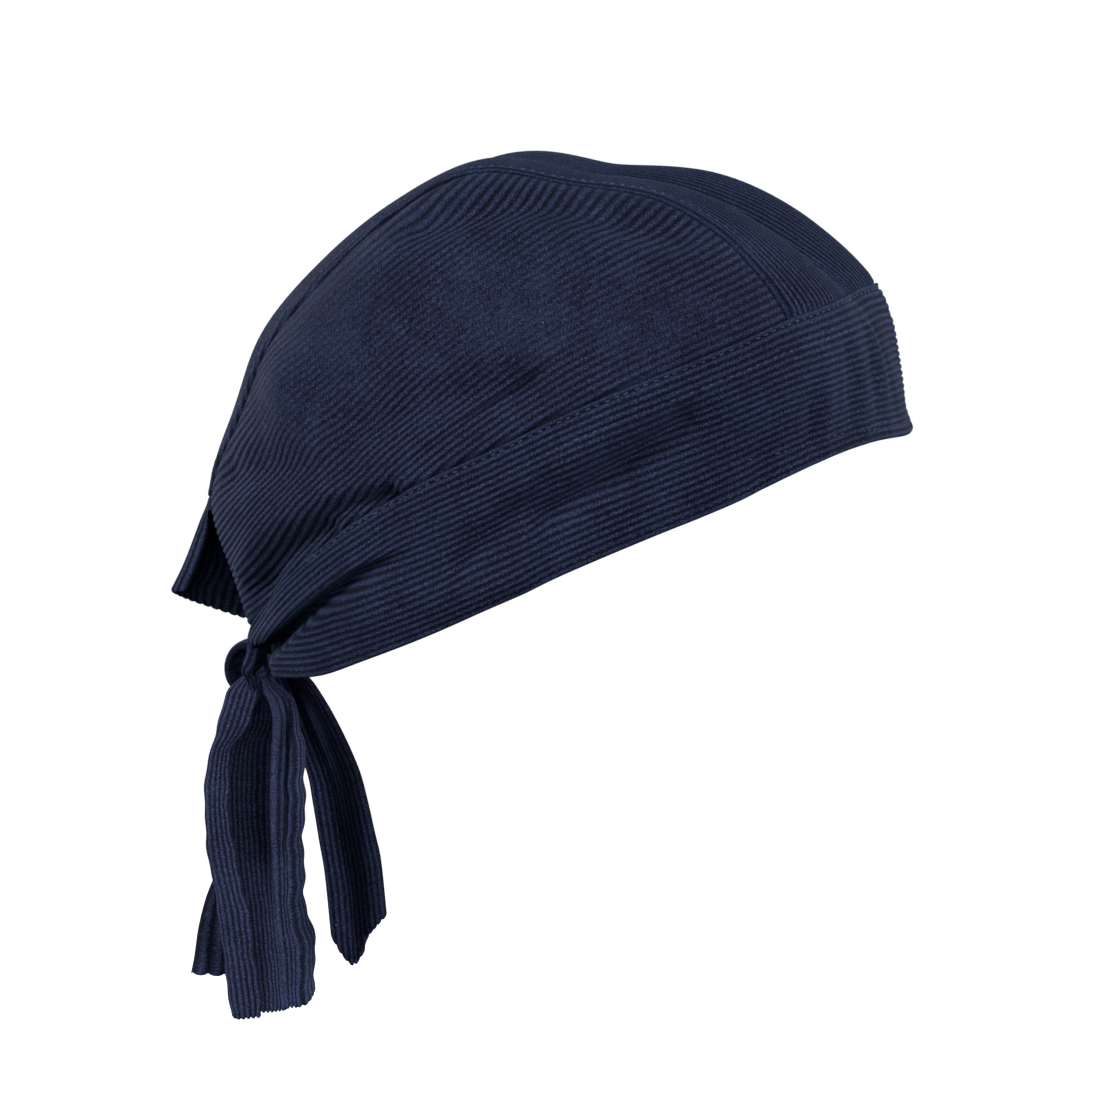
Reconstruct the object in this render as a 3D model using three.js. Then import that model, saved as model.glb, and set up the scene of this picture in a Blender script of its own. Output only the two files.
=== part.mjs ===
// Helmet liner cap: a skull cap of ribbed navy cotton, tied behind the head.
// Millimetres, +Z up. The forehead faces -Y and the wearer's right side is -X.
// The origin is the inside of the crown, where the cap sits on the head.
import * as THREE from "three";

// ---- cloth ----
const CLOTH = 1.3;
const BAND_CLOTH = 2.0;
const SEAM_GAP = 0.7;
const NAVY = { colour: 0x252a40, roughness: 0.95 };
const SHADED_NAVY = { colour: 0x1c2031, roughness: 0.95 };

// ---- the head form that the cap is stretched over ----
const HEAD_CENTRE = new THREE.Vector3(0, 0, -77.5);
const HALF_BREADTH = 78;
const WIDER_BEHIND = 0.04;
const ROUND_RINGS = 2.15;
const SQUARE_CROWN = 3.6;

const table = (columns, rows) => rows.map((row) => {
  return Object.fromEntries(columns.map((column, i) => [column, row[i]]));
});

// Outline in the middle plane: 0 degrees is the forehead, 90 the crown, 180 the back.
const PROFILE = table(["angle", "radius"], [
  [-100, 140],
  [-60, 123],
  [-30, 106],
  [0, 98],
  [20, 98.6],
  [40, 90.6],
  [60, 82.8],
  [80, 76.2],
  [100, 79.8],
  [120, 77.7],
  [140, 79],
  [160, 85.3],
  [175, 89.6],
  [190, 98],
  [205, 98.8],
  [220, 105.8],
  [260, 140],
]);

// Centre strip: half width, the crease down its middle and the two crests beside it.
const STRIP = table(["angle", "halfWidth", "crease", "crest"], [
  [20, 50.5, 0.5, 0],
  [40, 48.5, 4.5, 1.2],
  [55, 46, 5.5, 1.5],
  [70, 44.5, 3.5, 0.8],
  [85, 44, 2, 0],
  [100, 47, 1.5, 0],
  [115, 50.5, 2, 0.5],
  [130, 52, 2.5, 1],
  [145, 51, 2, 1],
  [160, 47, 1, 0.5],
  [175, 39, 0, 0],
  [190, 29, 0, 0],
]);
const CREASE_WIDTH = 8;
const CREST_PLACE = 17;
const CREST_WIDTH = 8;
const STRIP_END = 190;

// Headband: height of its upper seam and of the rim, by the angle from the forehead.
const BAND = table(["angle", "seam", "rim"], [
  [0, -34, -74.3],
  [15, -35.2, -75.2],
  [25, -37.3, -77.2],
  [35, -40.4, -82],
  [45, -45.7, -88.6],
  [60, -54.2, -97.3],
  [75, -63.2, -106.3],
  [90, -73.4, -115.8],
  [105, -83.2, -125],
  [120, -95.2, -133],
  [132, -106.3, -138.8],
  [145, -118.4, -142.8],
  [158, -129, -146],
  [172, -136.5, -148],
]);
const BAND_END = 172;
const BAND_PROUD = 0.3;

// Side panel: its front corner stands a little behind the strip's, and its rear edge comes
// down to the headband at REAR_CORNER round the head. The seam turns in sharply at its rear
// end, and has a wider gap there.
const FRONT_CORNER_TOP = 2.5;
const FRONT_CORNER_BOTTOM = 1.5;
const REAR_CORNER = 160;
const REAR_EXTRA_GAP = 0.4;

// Dents and folds of the side panels and headband. Depth is outward, right and left of the
// wearer, and the path runs through three places of (y, z) on the side of the head.
const FOLDS = table(
  ["right", "left", "width", "y0", "z0", "y1", "z1", "y2", "z2"],
  [
    [-2.2, -1.4, 6, 22, -15, -8, -10, -46, -18],
    [2.6, 1.6, 12, 62, -60, 57, -68, 50, -76],
    [-2.0, -1.2, 7, 42, -70, 17, -63, -8, -57],
    [-1.8, -1.2, 7, 82, -86, 62, -82, 42, -80],
    [-3.4, -2.6, 4.5, 70, -135, 50, -117, 26, -104],
    [-2.6, -1.8, 5, 74, -118, 55, -102, 30, -86],
    [-1.8, -1.0, 6, -23, -95, -35, -82, -54, -62],
    [-1.8, -1.2, 5, 7, -104, -4, -93, -14, -82],
    [1.4, 0.8, 6, 38, -120, 10, -112, -6, -108],
  ],
);

// Tail flap: its two edges from top to hem, in degrees round from the back. The right edge
// stands free, so the flap is open there, and the left edge is tucked under the side panel.
const TAIL = table(["drop", "right", "left"], [
  [0, -19, 21],
  [0.1, -13, 23.5],
  [0.2, -8.5, 25.5],
  [0.33, -5.5, 28],
  [0.66, -4.6, 31.5],
  [1, -4, 24.5],
]);
const TAIL_HEM = table(["spread", "height"], [
  [-4, -124.3],
  [0, -126],
  [4.5, -129.5],
  [9, -133],
  [12, -133.5],
  [15, -131.5],
  [19, -127.5],
  [24.5, -124.3],
]);
const TAIL_TOP_GAP = 1.1;
const TAIL_FLARE = 22.5;
const TAIL_FLARE_DROP = 29;
const TAIL_FLARE_POWER = 1.05;
const TAIL_CREST_SPREAD = 10.5;
const TAIL_TUCK = 3.4;
const TAIL_TUCK_START = 8;
const TAIL_TUCK_FULL = 3;

// The side panels' rear edge, under which the tail flap is tucked.
const REAR_EDGE = table(["height", "spread"], [
  [-130, 20],
  [-118, 19.2],
  [-106, 18.5],
  [-94, 17.8],
]);

// Knot: a strap ring round the gathered ends of the headband.
const KNOT = { y: 88.6, z: -145.3 };
const RING_HALF_DEPTH = 6.5;
const RING_HALF_HEIGHT = 7.8;
const RING_STRAP = 2.4;
const RING_WIDTH = 12.6;
const CORE_GAP = 0.55;
const CORE_END_GAP = 1.15;
const CORE_END_HALF_DEPTH = 1.1;
const CORE_STRAIGHT = 0.62;

// Right tie, folded lengthwise: its middle line, and the roll, hollow and ridge of its face.
// Widths run back from the middle line and heights out from it, towards the wearer's right.
const RIGHT_TIE = table(
  ["drop", "x", "y", "width", "lapel", "roll", "hollow", "ridge", "depth", "rear"],
  [
    [0, -10.2, 84.6, 12, 3, 1.2, 0.4, 0.6, 2.4, -3],
    [0.03, -11.2, 82.6, 19, 5, 2, 1, 1.2, 3.4, -6],
    [0.12, -11.6, 83.2, 22, 7, 2.8, 1.6, 1.6, 4.8, -6],
    [0.3, -11.4, 84.8, 26, 8, 3.2, 2, 1.8, 5.2, -5],
    [0.5, -11, 84.8, 26, 8, 3, 2, 1.8, 5.2, -3],
    [0.68, -10.4, 84.2, 25, 7, 2.4, 1.6, 1.2, 5, 4],
    [0.84, -10, 83.4, 24, 4, 1.4, 0.8, 0.6, 4.6, 9],
    [1, -9.8, 82.8, 23, 2, 0.6, 0.3, 0.2, 4.4, 11.5],
  ],
);
const RIGHT_TIE_TOP = -150.4;
const RIGHT_TIE_HEM = table(["across", "height"], [
  [0, -246],
  [0.5, -241.5],
  [0.7, -238.5],
  [1, -235.5],
]);

// Left tie: it swings forward under the nape, with a crest and a shallow hollow along it.
const CREST_ACROSS = { place: 0.27, width: 0.14 };
const HOLLOW_ACROSS = { place: 0.75, width: 0.2, share: 0.35 };
const LEFT_TIE = table(["drop", "x", "y", "width", "crest"], [
  [0, 9.2, 84.4, 11, 0.8],
  [0.08, 9.8, 77, 14, 2],
  [0.2, 9, 73, 13.5, 2.6],
  [0.4, 8, 68, 14.5, 2.8],
  [0.6, 7.5, 63, 16.5, 2.6],
  [0.8, 7.5, 60.2, 17.5, 2.2],
  [1, 7.5, 59.5, 16, 1.6],
]);
const LEFT_TIE_TOP = -150.4;
const LEFT_TIE_HEM = table(["across", "height"], [
  [0, -226],
  [0.35, -232],
  [0.6, -226],
  [1, -217],
]);

// ---------- smooth curves through the tables ----------

function slopeAt(rows, key, column, i) {
  const before = rows[Math.max(i - 1, 0)];
  const after = rows[Math.min(i + 1, rows.length - 1)];
  return (after[column] - before[column]) / (after[key] - before[key]);
}

function along(rows, key, column, at) {
  const last = rows.length - 1;
  const place = THREE.MathUtils.clamp(at, rows[0][key], rows[last][key]);
  let i = 0;
  while (i < last - 1 && rows[i + 1][key] < place) i += 1;
  const a = rows[i];
  const b = rows[i + 1];
  const span = b[key] - a[key];
  const t = (place - a[key]) / span;
  const m0 = slopeAt(rows, key, column, i) * span;
  const m1 = slopeAt(rows, key, column, i + 1) * span;
  return (2 * t ** 3 - 3 * t * t + 1) * a[column] + (t ** 3 - 2 * t * t + t) * m0
    + (3 * t * t - 2 * t ** 3) * b[column] + (t ** 3 - t * t) * m1;
}

const mix = THREE.MathUtils.lerp;
const radians = THREE.MathUtils.degToRad;
const bell = (distance, width) => Math.exp(-((distance / width) ** 2));
const smoothStep = (value, low, high) => THREE.MathUtils.smoothstep(value, low, high);

// Bisection for the place in [low, high] where a rising test turns from negative.
function whereZero(test, low, high) {
  let [a, b] = [low, high];
  for (let step = 0; step < 32; step += 1) {
    const middle = (a + b) / 2;
    if (test(middle) < 0) a = middle;
    else b = middle;
  }
  return (a + b) / 2;
}

// ---------- the head form ----------

function middleAngle(y, z) {
  const angle = THREE.MathUtils.radToDeg(Math.atan2(z, -y));
  return angle < -100 ? angle + 360 : angle;
}

function squareness(angle) {
  const lift = Math.max(0, Math.sin(radians(angle)));
  return ROUND_RINGS + (SQUARE_CROWN - ROUND_RINGS) * lift ** 1.5;
}

const breadthAt = (y) => HALF_BREADTH * (1 + (WIDER_BEHIND * y) / 100);

// Under 1 inside the form, over 1 outside it.
function formLevel(point) {
  const y = point.y - HEAD_CENTRE.y;
  const z = point.z - HEAD_CENTRE.z;
  const angle = middleAngle(y, z);
  const p = squareness(angle);
  const radius = along(PROFILE, "angle", "radius", angle);
  return (Math.abs(point.x) / breadthAt(y)) ** p + (Math.hypot(y, z) / radius) ** p;
}

// The place on the form over the crown, by the middle-plane angle and the offset in x.
function overCrown(angle, x) {
  const p = squareness(angle);
  const radius = along(PROFILE, "angle", "radius", angle);
  let reach = radius;
  for (let step = 0; step < 4; step += 1) {
    const breadth = breadthAt(-reach * Math.cos(radians(angle)));
    reach = radius * (1 - (Math.abs(x) / breadth) ** p) ** (1 / p);
  }
  const y = -reach * Math.cos(radians(angle));
  return new THREE.Vector3(x, y, reach * Math.sin(radians(angle)) + HEAD_CENTRE.z);
}

// The place on the form at a height, by the angle round the head from the forehead.
// A positive angle goes round by the wearer's right.
function roundHead(angle, height) {
  const heading = new THREE.Vector3(-Math.sin(radians(angle)), -Math.cos(radians(angle)), 0);
  const place = (reach) => heading.clone().multiplyScalar(reach).setZ(height);
  return place(whereZero((reach) => formLevel(place(reach)) - 1, 5, 160));
}

// The place on the side of the form, by (y, z).
function onSide(side, y, z) {
  const reach = whereZero((x) => formLevel(new THREE.Vector3(x, y, z)) - 1, 0, 120);
  return new THREE.Vector3(side * reach, y, z);
}

// ---------- folds ----------

const FOLD_STEPS = 8;

function foldPath(fold, side) {
  const bend = new THREE.SplineCurve([
    new THREE.Vector2(fold.y0, fold.z0),
    new THREE.Vector2(fold.y1, fold.z1),
    new THREE.Vector2(fold.y2, fold.z2),
  ]);
  return bend.getPoints(FOLD_STEPS).map((place) => onSide(side, place.x, place.y));
}

const FOLD_PATHS = FOLDS.flatMap((fold) => [
  { depth: fold.right, width: fold.width, path: foldPath(fold, -1) },
  { depth: fold.left, width: fold.width, path: foldPath(fold, 1) },
]);

function distanceTo(path, point) {
  let nearest = Infinity;
  const hit = new THREE.Vector3();
  for (let i = 0; i + 1 < path.length; i += 1) {
    new THREE.Line3(path[i], path[i + 1]).closestPointToPoint(point, true, hit);
    nearest = Math.min(nearest, hit.distanceTo(point));
  }
  return nearest;
}

function stripFold(point) {
  const angle = middleAngle(point.y - HEAD_CENTRE.y, point.z - HEAD_CENTRE.z);
  if (angle < STRIP[0].angle || angle > STRIP_END) return 0;
  const crease = along(STRIP, "angle", "crease", angle);
  const crest = along(STRIP, "angle", "crest", angle);
  return crest * bell(Math.abs(point.x) - CREST_PLACE, CREST_WIDTH)
    - crease * bell(point.x, CREASE_WIDTH);
}

// The cloth's outer face over a place on the form: pushed out or in by the folds there.
function clothAt(place, lift = 0) {
  const folds = FOLD_PATHS.reduce((sum, fold) => {
    return sum + fold.depth * bell(distanceTo(fold.path, place), fold.width);
  }, 0);
  const outward = place.clone().sub(HEAD_CENTRE).normalize();
  return place.clone().addScaledVector(outward, folds + stripFold(place) + lift);
}

// ---------- closed sheets ----------

// A closed wall from a grid of places. `inner` and `outer` say how far its two faces lie
// from those places along the sheet's normal.
function wall(across, down, placeAt, inner, outer) {
  const grid = [];
  for (let j = 0; j <= down; j += 1) {
    for (let i = 0; i <= across; i += 1) grid.push(placeAt(i / across, j / down));
  }
  const { clamp } = THREE.MathUtils;
  const at = (i, j) => grid[clamp(j, 0, down) * (across + 1) + clamp(i, 0, across)];
  const positions = [];
  for (const offset of [outer, inner]) {
    for (let j = 0; j <= down; j += 1) {
      for (let i = 0; i <= across; i += 1) {
        const along1 = at(i + 1, j).clone().sub(at(i - 1, j));
        const along2 = at(i, j + 1).clone().sub(at(i, j - 1));
        const normal = along1.cross(along2).normalize();
        positions.push(...at(i, j).clone().addScaledVector(normal, offset).toArray());
      }
    }
  }
  return closedGeometry(positions, sheetFaces(across, down));
}

function sheetFaces(across, down) {
  const faces = [];
  const row = across + 1;
  const back = row * (down + 1);
  const quad = (a, b, c, d) => faces.push(a, c, b, a, d, c);
  for (let j = 0; j < down; j += 1) {
    for (let i = 0; i < across; i += 1) {
      const a = j * row + i;
      quad(a, a + row, a + row + 1, a + 1);
      quad(back + a, back + a + 1, back + a + row + 1, back + a + row);
    }
  }
  for (let i = 0; i < across; i += 1) {
    const low = down * row + i;
    quad(i, i + 1, back + i + 1, back + i);
    quad(low + 1, low, back + low, back + low + 1);
  }
  for (let j = 0; j < down; j += 1) {
    const a = j * row;
    const b = j * row + across;
    quad(a + row, a, back + a, back + a + row);
    quad(b, b + row, back + b + row, back + b);
  }
  return faces;
}

function closedGeometry(positions, faces) {
  const geometry = new THREE.BufferGeometry();
  geometry.setAttribute("position", new THREE.Float32BufferAttribute(positions, 3));
  geometry.setIndex(faces);
  geometry.computeVertexNormals();
  return geometry;
}

const cap = new THREE.Group();

function addPiece(name, geometry, finish) {
  const material = new THREE.MeshStandardMaterial({
    color: finish.colour,
    roughness: finish.roughness,
    metalness: 0,
  });
  const piece = new THREE.Mesh(geometry, material);
  piece.name = name;
  cap.add(piece);
}

// ---------- headband ----------

const bandSeam = (angle) => along(BAND, "angle", "seam", Math.abs(angle));
const bandRim = (angle) => along(BAND, "angle", "rim", Math.abs(angle));

function headband() {
  const placeAt = (u, v) => {
    const angle = mix(-BAND_END, BAND_END, u);
    return clothAt(roundHead(angle, mix(bandSeam(angle), bandRim(angle), v)), BAND_PROUD);
  };
  return wall(76, 5, placeAt, -BAND_CLOTH, 0);
}

// ---------- centre strip ----------

const stripHalf = (angle) => along(STRIP, "angle", "halfWidth", angle);
const roundAngle = (place) => Math.abs(THREE.MathUtils.radToDeg(Math.atan2(place.x, -place.y)));

// The middle-plane angle where a line of the strip comes down to the headband's seam.
function stripFront(share, gap) {
  return whereZero((angle) => {
    const place = overCrown(angle, share * stripHalf(angle));
    return place.z - bandSeam(roundAngle(place)) - gap;
  }, 15, 40);
}

function crownStrip() {
  const placeAt = (u, v) => {
    const share = mix(-1, 1, u);
    const angle = mix(stripFront(share, SEAM_GAP), STRIP_END, v);
    return clothAt(overCrown(angle, share * (stripHalf(angle) - SEAM_GAP / 2)));
  };
  return wall(16, 26, placeAt, -CLOTH, 0);
}

// ---------- side panels ----------

// Rows run from the seam with the strip down to the headband, along great arcs of the form.
function sidePanel(side) {
  const frontAngle = stripFront(1, SEAM_GAP);
  const frontCorner = roundAngle(overCrown(frontAngle, stripHalf(frontAngle)));
  const placeAt = (u, v) => {
    const angle = mix(frontAngle + FRONT_CORNER_TOP, STRIP_END, u);
    const gap = SEAM_GAP / 2 + REAR_EXTRA_GAP * smoothStep(angle, 150, STRIP_END);
    const top = overCrown(angle, side * (stripHalf(angle) + gap));
    const round = mix(frontCorner + FRONT_CORNER_BOTTOM, REAR_CORNER, u);
    const bottom = roundHead(-side * round, bandSeam(round) + SEAM_GAP);
    const straight = top.clone().lerp(bottom, v).sub(HEAD_CENTRE);
    const reach = whereZero((scale) => {
      return formLevel(straight.clone().multiplyScalar(scale).add(HEAD_CENTRE)) - 1;
    }, 0.5, 3);
    return clothAt(straight.multiplyScalar(reach).add(HEAD_CENTRE));
  };
  const mirrored = (u, v) => placeAt(1 - u, v);
  return wall(26, 10, side < 0 ? placeAt : mirrored, -CLOTH, 0);
}

// ---------- tail flap ----------

function tailFlap() {
  const placeAt = (u, v) => {
    const spreadAt = (drop) => {
      return mix(along(TAIL, "drop", "right", drop), along(TAIL, "drop", "left", drop), u);
    };
    const spread = spreadAt(v);
    const top = overCrown(STRIP_END, 0).z - TAIL_TOP_GAP;
    const height = mix(top, along(TAIL_HEM, "spread", "height", spreadAt(1)), v);
    const place = roundHead(180 + spread, height);
    const edge = along(REAR_EDGE, "height", "spread", height);
    const tuck = TAIL_TUCK
      * smoothStep(Math.abs(spread), edge - TAIL_TUCK_START, edge - TAIL_TUCK_FULL);
    const share = Math.min((top - height) / TAIL_FLARE_DROP, 1);
    const flare = TAIL_FLARE * share ** TAIL_FLARE_POWER * bell(spread, TAIL_CREST_SPREAD);
    const outward = new THREE.Vector3(place.x, place.y, 0).normalize();
    return clothAt(place).addScaledVector(outward, flare - tuck);
  };
  return wall(16, 10, placeAt, -CLOTH, 0);
}

// ---------- knot ----------

const oval = (angle, halfDepth, halfHeight) => new THREE.Vector2(
  halfDepth * Math.cos(angle),
  halfHeight * Math.sin(angle),
);

// Closed ring of a strap, with its axis along X.
function knotWrap() {
  const innerDepth = RING_HALF_DEPTH - RING_STRAP;
  const innerHeight = RING_HALF_HEIGHT - RING_STRAP;
  const outside = new THREE.Shape();
  const inside = new THREE.Path();
  outside.absellipse(0, 0, RING_HALF_DEPTH, RING_HALF_HEIGHT, 0, Math.PI * 2, false, 0);
  inside.absellipse(0, 0, innerDepth, innerHeight, 0, Math.PI * 2, true, 0);
  outside.holes.push(inside);
  const ring = new THREE.ExtrudeGeometry(outside, {
    depth: RING_WIDTH,
    bevelEnabled: false,
    curveSegments: 20,
  });
  ring.translate(0, 0, -RING_WIDTH / 2);
  ring.applyMatrix4(new THREE.Matrix4().makeBasis(
    new THREE.Vector3(0, 1, 0),
    new THREE.Vector3(0, 0, 1),
    new THREE.Vector3(1, 0, 0),
  ));
  ring.translate(0, KNOT.y, KNOT.z);
  return ring;
}

// Gathered cloth from one end of the headband through the ring to the other end.
function knotCore() {
  const stations = 10;
  const sides = 12;
  const bandEnd = roundHead(BAND_END, (bandSeam(BAND_END) + bandRim(BAND_END)) / 2);
  const halfLength = Math.abs(bandEnd.x) - CORE_END_GAP;
  const endHalfHeight = (bandSeam(BAND_END) - bandRim(BAND_END)) / 2 - CORE_GAP;
  const positions = [];
  for (let i = 0; i <= stations; i += 1) {
    const reach = mix(-1, 1, i / stations);
    const full = 1 - smoothStep(Math.abs(reach), CORE_STRAIGHT, 1);
    const middleY = mix(bandEnd.y - BAND_CLOTH / 2, KNOT.y, full);
    const middleZ = mix(bandEnd.z, KNOT.z, full);
    const halfDepth = mix(CORE_END_HALF_DEPTH, RING_HALF_DEPTH - RING_STRAP - CORE_GAP, full);
    const halfHeight = mix(endHalfHeight, RING_HALF_HEIGHT - RING_STRAP - CORE_GAP, full);
    for (let k = 0; k < sides; k += 1) {
      const place = oval((k / sides) * Math.PI * 2, halfDepth, halfHeight);
      positions.push(reach * halfLength, middleY + place.x, middleZ + place.y);
    }
  }
  return closedGeometry(positions, tubeFaces(stations, sides));
}

function tubeFaces(stations, sides) {
  const faces = [];
  for (let i = 0; i < stations; i += 1) {
    for (let k = 0; k < sides; k += 1) {
      const next = (k + 1) % sides;
      const a = i * sides;
      const b = a + sides;
      faces.push(a + k, a + next, b + next, a + k, b + next, b + k);
    }
  }
  const last = stations * sides;
  for (let k = 1; k + 1 < sides; k += 1) {
    faces.push(0, k + 1, k, last, last + k, last + k + 1);
  }
  return faces;
}

// ---------- ties ----------

// A section of the right tie from the lapel's free edge, round the roll, over the hollow and
// the ridge, round the lengthwise fold and back along the rear layer.
function rightTieSection(drop) {
  const size = (column) => along(RIGHT_TIE, "drop", column, drop);
  const half = size("width") / 2;
  const depth = size("depth");
  const back = (offset) => size("y") + offset;
  const out = (offset) => size("x") - offset;
  const points = [
    [half - size("lapel"), size("roll")],
    [half - 1, size("roll")],
    [half, -0.2],
    [half - 2.4, -size("hollow") - 0.4],
    [-0.02 * half, -size("hollow")],
    [-0.34 * half, size("ridge")],
    [-0.8 * half, 0.3],
    [-half, -depth / 2],
    [-0.8 * half, -depth],
    [0, -depth],
    [half + size("rear"), -depth],
  ];
  return new THREE.CatmullRomCurve3(points.map(([a, b]) => new THREE.Vector3(out(b), back(a), 0)));
}

function rightTie() {
  const sections = new Map();
  const sectionAt = (drop) => {
    if (!sections.has(drop)) sections.set(drop, rightTieSection(drop));
    return sections.get(drop);
  };
  const placeAt = (u, v) => {
    const place = sectionAt(v).getPoint(u);
    return place.setZ(mix(RIGHT_TIE_TOP, along(RIGHT_TIE_HEM, "across", "height", u), v));
  };
  return wall(30, 12, placeAt, -CLOTH / 2, CLOTH / 2);
}

function leftTie() {
  const placeAt = (u, v) => {
    const size = (column) => along(LEFT_TIE, "drop", column, v);
    const half = size("width") / 2;
    const swell = bell(u - CREST_ACROSS.place, CREST_ACROSS.width)
      - HOLLOW_ACROSS.share * bell(u - HOLLOW_ACROSS.place, HOLLOW_ACROSS.width);
    const crest = size("crest") * swell;
    const z = mix(LEFT_TIE_TOP, along(LEFT_TIE_HEM, "across", "height", u), v);
    return new THREE.Vector3(size("x") - crest, size("y") + mix(half, -half, u), z);
  };
  return wall(12, 12, placeAt, -CLOTH / 2, CLOTH / 2);
}

addPiece("crown_strip", crownStrip(), NAVY);
addPiece("side_panel_right", sidePanel(-1), NAVY);
addPiece("side_panel_left", sidePanel(1), NAVY);
addPiece("headband", headband(), SHADED_NAVY);
addPiece("tail_flap", tailFlap(), NAVY);
addPiece("knot_core", knotCore(), SHADED_NAVY);
addPiece("knot_wrap", knotWrap(), NAVY);
addPiece("tie_right", rightTie(), NAVY);
addPiece("tie_left", leftTie(), SHADED_NAVY);

export default cap;
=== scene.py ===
import math

import bpy
import numpy as np
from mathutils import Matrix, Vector


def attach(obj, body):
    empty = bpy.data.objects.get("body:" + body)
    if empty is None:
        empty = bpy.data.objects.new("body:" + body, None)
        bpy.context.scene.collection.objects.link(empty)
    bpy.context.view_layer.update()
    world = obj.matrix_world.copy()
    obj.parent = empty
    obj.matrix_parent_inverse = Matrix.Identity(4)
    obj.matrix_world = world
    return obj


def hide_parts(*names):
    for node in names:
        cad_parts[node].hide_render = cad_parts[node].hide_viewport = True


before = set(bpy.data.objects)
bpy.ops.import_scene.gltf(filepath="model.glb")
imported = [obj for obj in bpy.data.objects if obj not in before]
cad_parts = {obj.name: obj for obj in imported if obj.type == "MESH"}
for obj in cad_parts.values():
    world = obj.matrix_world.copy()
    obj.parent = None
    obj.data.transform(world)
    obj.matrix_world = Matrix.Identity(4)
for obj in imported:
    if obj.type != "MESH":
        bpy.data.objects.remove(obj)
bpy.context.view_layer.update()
scene = bpy.context.scene
bpy.ops.object.select_all(action="DESELECT")

# ======== Camera ========
# A long lens, a little in front of and above the wearer's right side, aimed at the middle
# of the cap and its hanging ties.
camera_azimuth = math.radians(-78)
camera_height = math.radians(5.2)
camera_reach = 1.3
camera_level = -0.0725
camera_data = bpy.data.cameras.new("camera")
camera_data.sensor_width = 36
camera_data.lens = 152
camera = bpy.data.objects.new("camera", camera_data)
scene.collection.objects.link(camera)
camera.location = (
    camera_reach * math.sin(camera_azimuth) * math.cos(camera_height),
    -camera_reach * math.cos(camera_azimuth) * math.cos(camera_height),
    camera_level + camera_reach * math.sin(camera_height),
)
camera_aim = Vector((0, 0.0014, -0.1097))
camera.rotation_euler = (camera_aim - camera.location).to_track_quat("-Z", "Y").to_euler()
scene.camera = camera

# ======== Crown strip ========
# The centre strip of the crown, from the forehead seam over the top and down the back. It is
# one cut of ribbed navy cotton, with its ribs lengthwise, sewn between the two side panels.
# Lengths are millimetres until a mesh is made.
MM = 0.001
HEAD_CENTRE = np.array([0, 0, -77.5])
HALF_BREADTH = 78
WIDER_BEHIND = 0.04
ROUND_RINGS = 2.15
SQUARE_CROWN = 3.6
CLOTH = 1.3
# Ribs show less on the inside of the cloth.
INSIDE_RIBS = 0.4

# Head form in the middle plane: angle from the forehead over the crown, and radius.
PROFILE = np.array([
    [-100, 140], [-60, 123], [-30, 106], [0, 98], [20, 98.6], [40, 90.6], [60, 82.8],
    [80, 76.2], [100, 79.8], [120, 77.7], [140, 79], [160, 85.3], [175, 89.6], [190, 98],
    [205, 98.8], [220, 105.8], [260, 140],
])
# Angle, half width, depth of the crease right of the middle, and height of the crest left of it.
STRIP = np.array([
    [20, 50.5, 2.0, 1.6], [40, 48.5, 6.5, 2.0], [55, 46, 7, 2.0], [70, 44.5, 4.5, 1],
    [85, 44, 2, 0], [100, 47, 1.5, 0], [115, 50.5, 2, 0.5], [130, 52, 2.5, 1],
    [145, 51, 2, 1], [160, 47, 1, 0.5], [175, 39, 0, 0], [190, 29, 0, 0],
])
STRIP_END = 190
STRIP_TUCK = 1.4
STRIP_RIBS = 54
STRIP_RIB_HEIGHT = 0.3
STRAIGHT_FROM = 130
FULL_HALF = 52
# Length over the crown for one degree in the middle plane.
CROWN_DEGREE = 1.65
# Angle round from the forehead, height of the headband's upper seam and of its rim.
BAND = np.array([
    [0, -34, -75.2], [15, -35.2, -74.7], [25, -37.3, -77.0], [35, -40.4, -82],
    [45, -45.7, -88.6], [60, -54.2, -97.3], [75, -63.2, -106.3], [90, -73.4, -115.8],
    [105, -83.2, -125], [120, -95.2, -133], [132, -106.3, -138.6], [145, -118.4, -141.4],
    [158, -129, -143.4], [172, -136.5, -146.5],
])
# Folds: depth on the right and on the left, width, and three places (y, z) along each.
FOLDS = np.array([
    [-3.2, -1.4, 6, 22, -15, -8, -10, -46, -18],
    [3.2, 1.6, 12, 62, -60, 57, -68, 50, -76],
    [-3.0, -1.2, 6.5, 42, -70, 17, -63, -8, -57],
    [-2.8, -1.2, 6, 82, -86, 62, -82, 42, -80],
    [-3.4, -1.6, 4.4, 77, -122, 67, -109, 51, -99],
    [1.6, 0.8, 4.5, 79, -113, 70, -101, 55, -91],
    [-2.2, -1.0, 3.2, 45, -92.0, 39, -89.0, 29, -86.8],
    [1.8, 0.8, 3.2, 46, -88, 36, -85.4, 26, -83.2],
    [-3.2, -2.0, 5, 74, -118, 55, -102, 30, -86],
    [-5.4, -1.0, 3.6, -14, -92, -30, -81, -50, -66],
    [2.2, 0.6, 4.5, -8, -84, -24, -73, -44, -58],
    [-3.0, -1.2, 4.5, 7, -104, -4, -93, -14, -82],
    [1.8, 0.8, 6, 38, -120, 10, -112, -6, -108],
])


def along(rows, column, at):
    """A smooth curve through one column of a table, read by the table's first column."""
    key = rows[:, 0]
    value = rows[:, column]
    number = np.arange(len(key))
    before = np.maximum(number - 1, 0)
    after = np.minimum(number + 1, len(key) - 1)
    slope = (value[after] - value[before]) / (key[after] - key[before])
    at = np.clip(at, key[0], key[-1])
    i = np.clip(np.searchsorted(key, at) - 1, 0, len(key) - 2)
    span = key[i + 1] - key[i]
    t = (at - key[i]) / span
    level = value[i] * (2 * t**3 - 3 * t**2 + 1) + value[i + 1] * (3 * t**2 - 2 * t**3)
    return level + span * (slope[i] * (t**3 - 2 * t**2 + t) + slope[i + 1] * (t**3 - t**2))


def mix(a, b, share):
    """From a at share 0 to b at share 1."""
    return a + (b - a) * share


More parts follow.
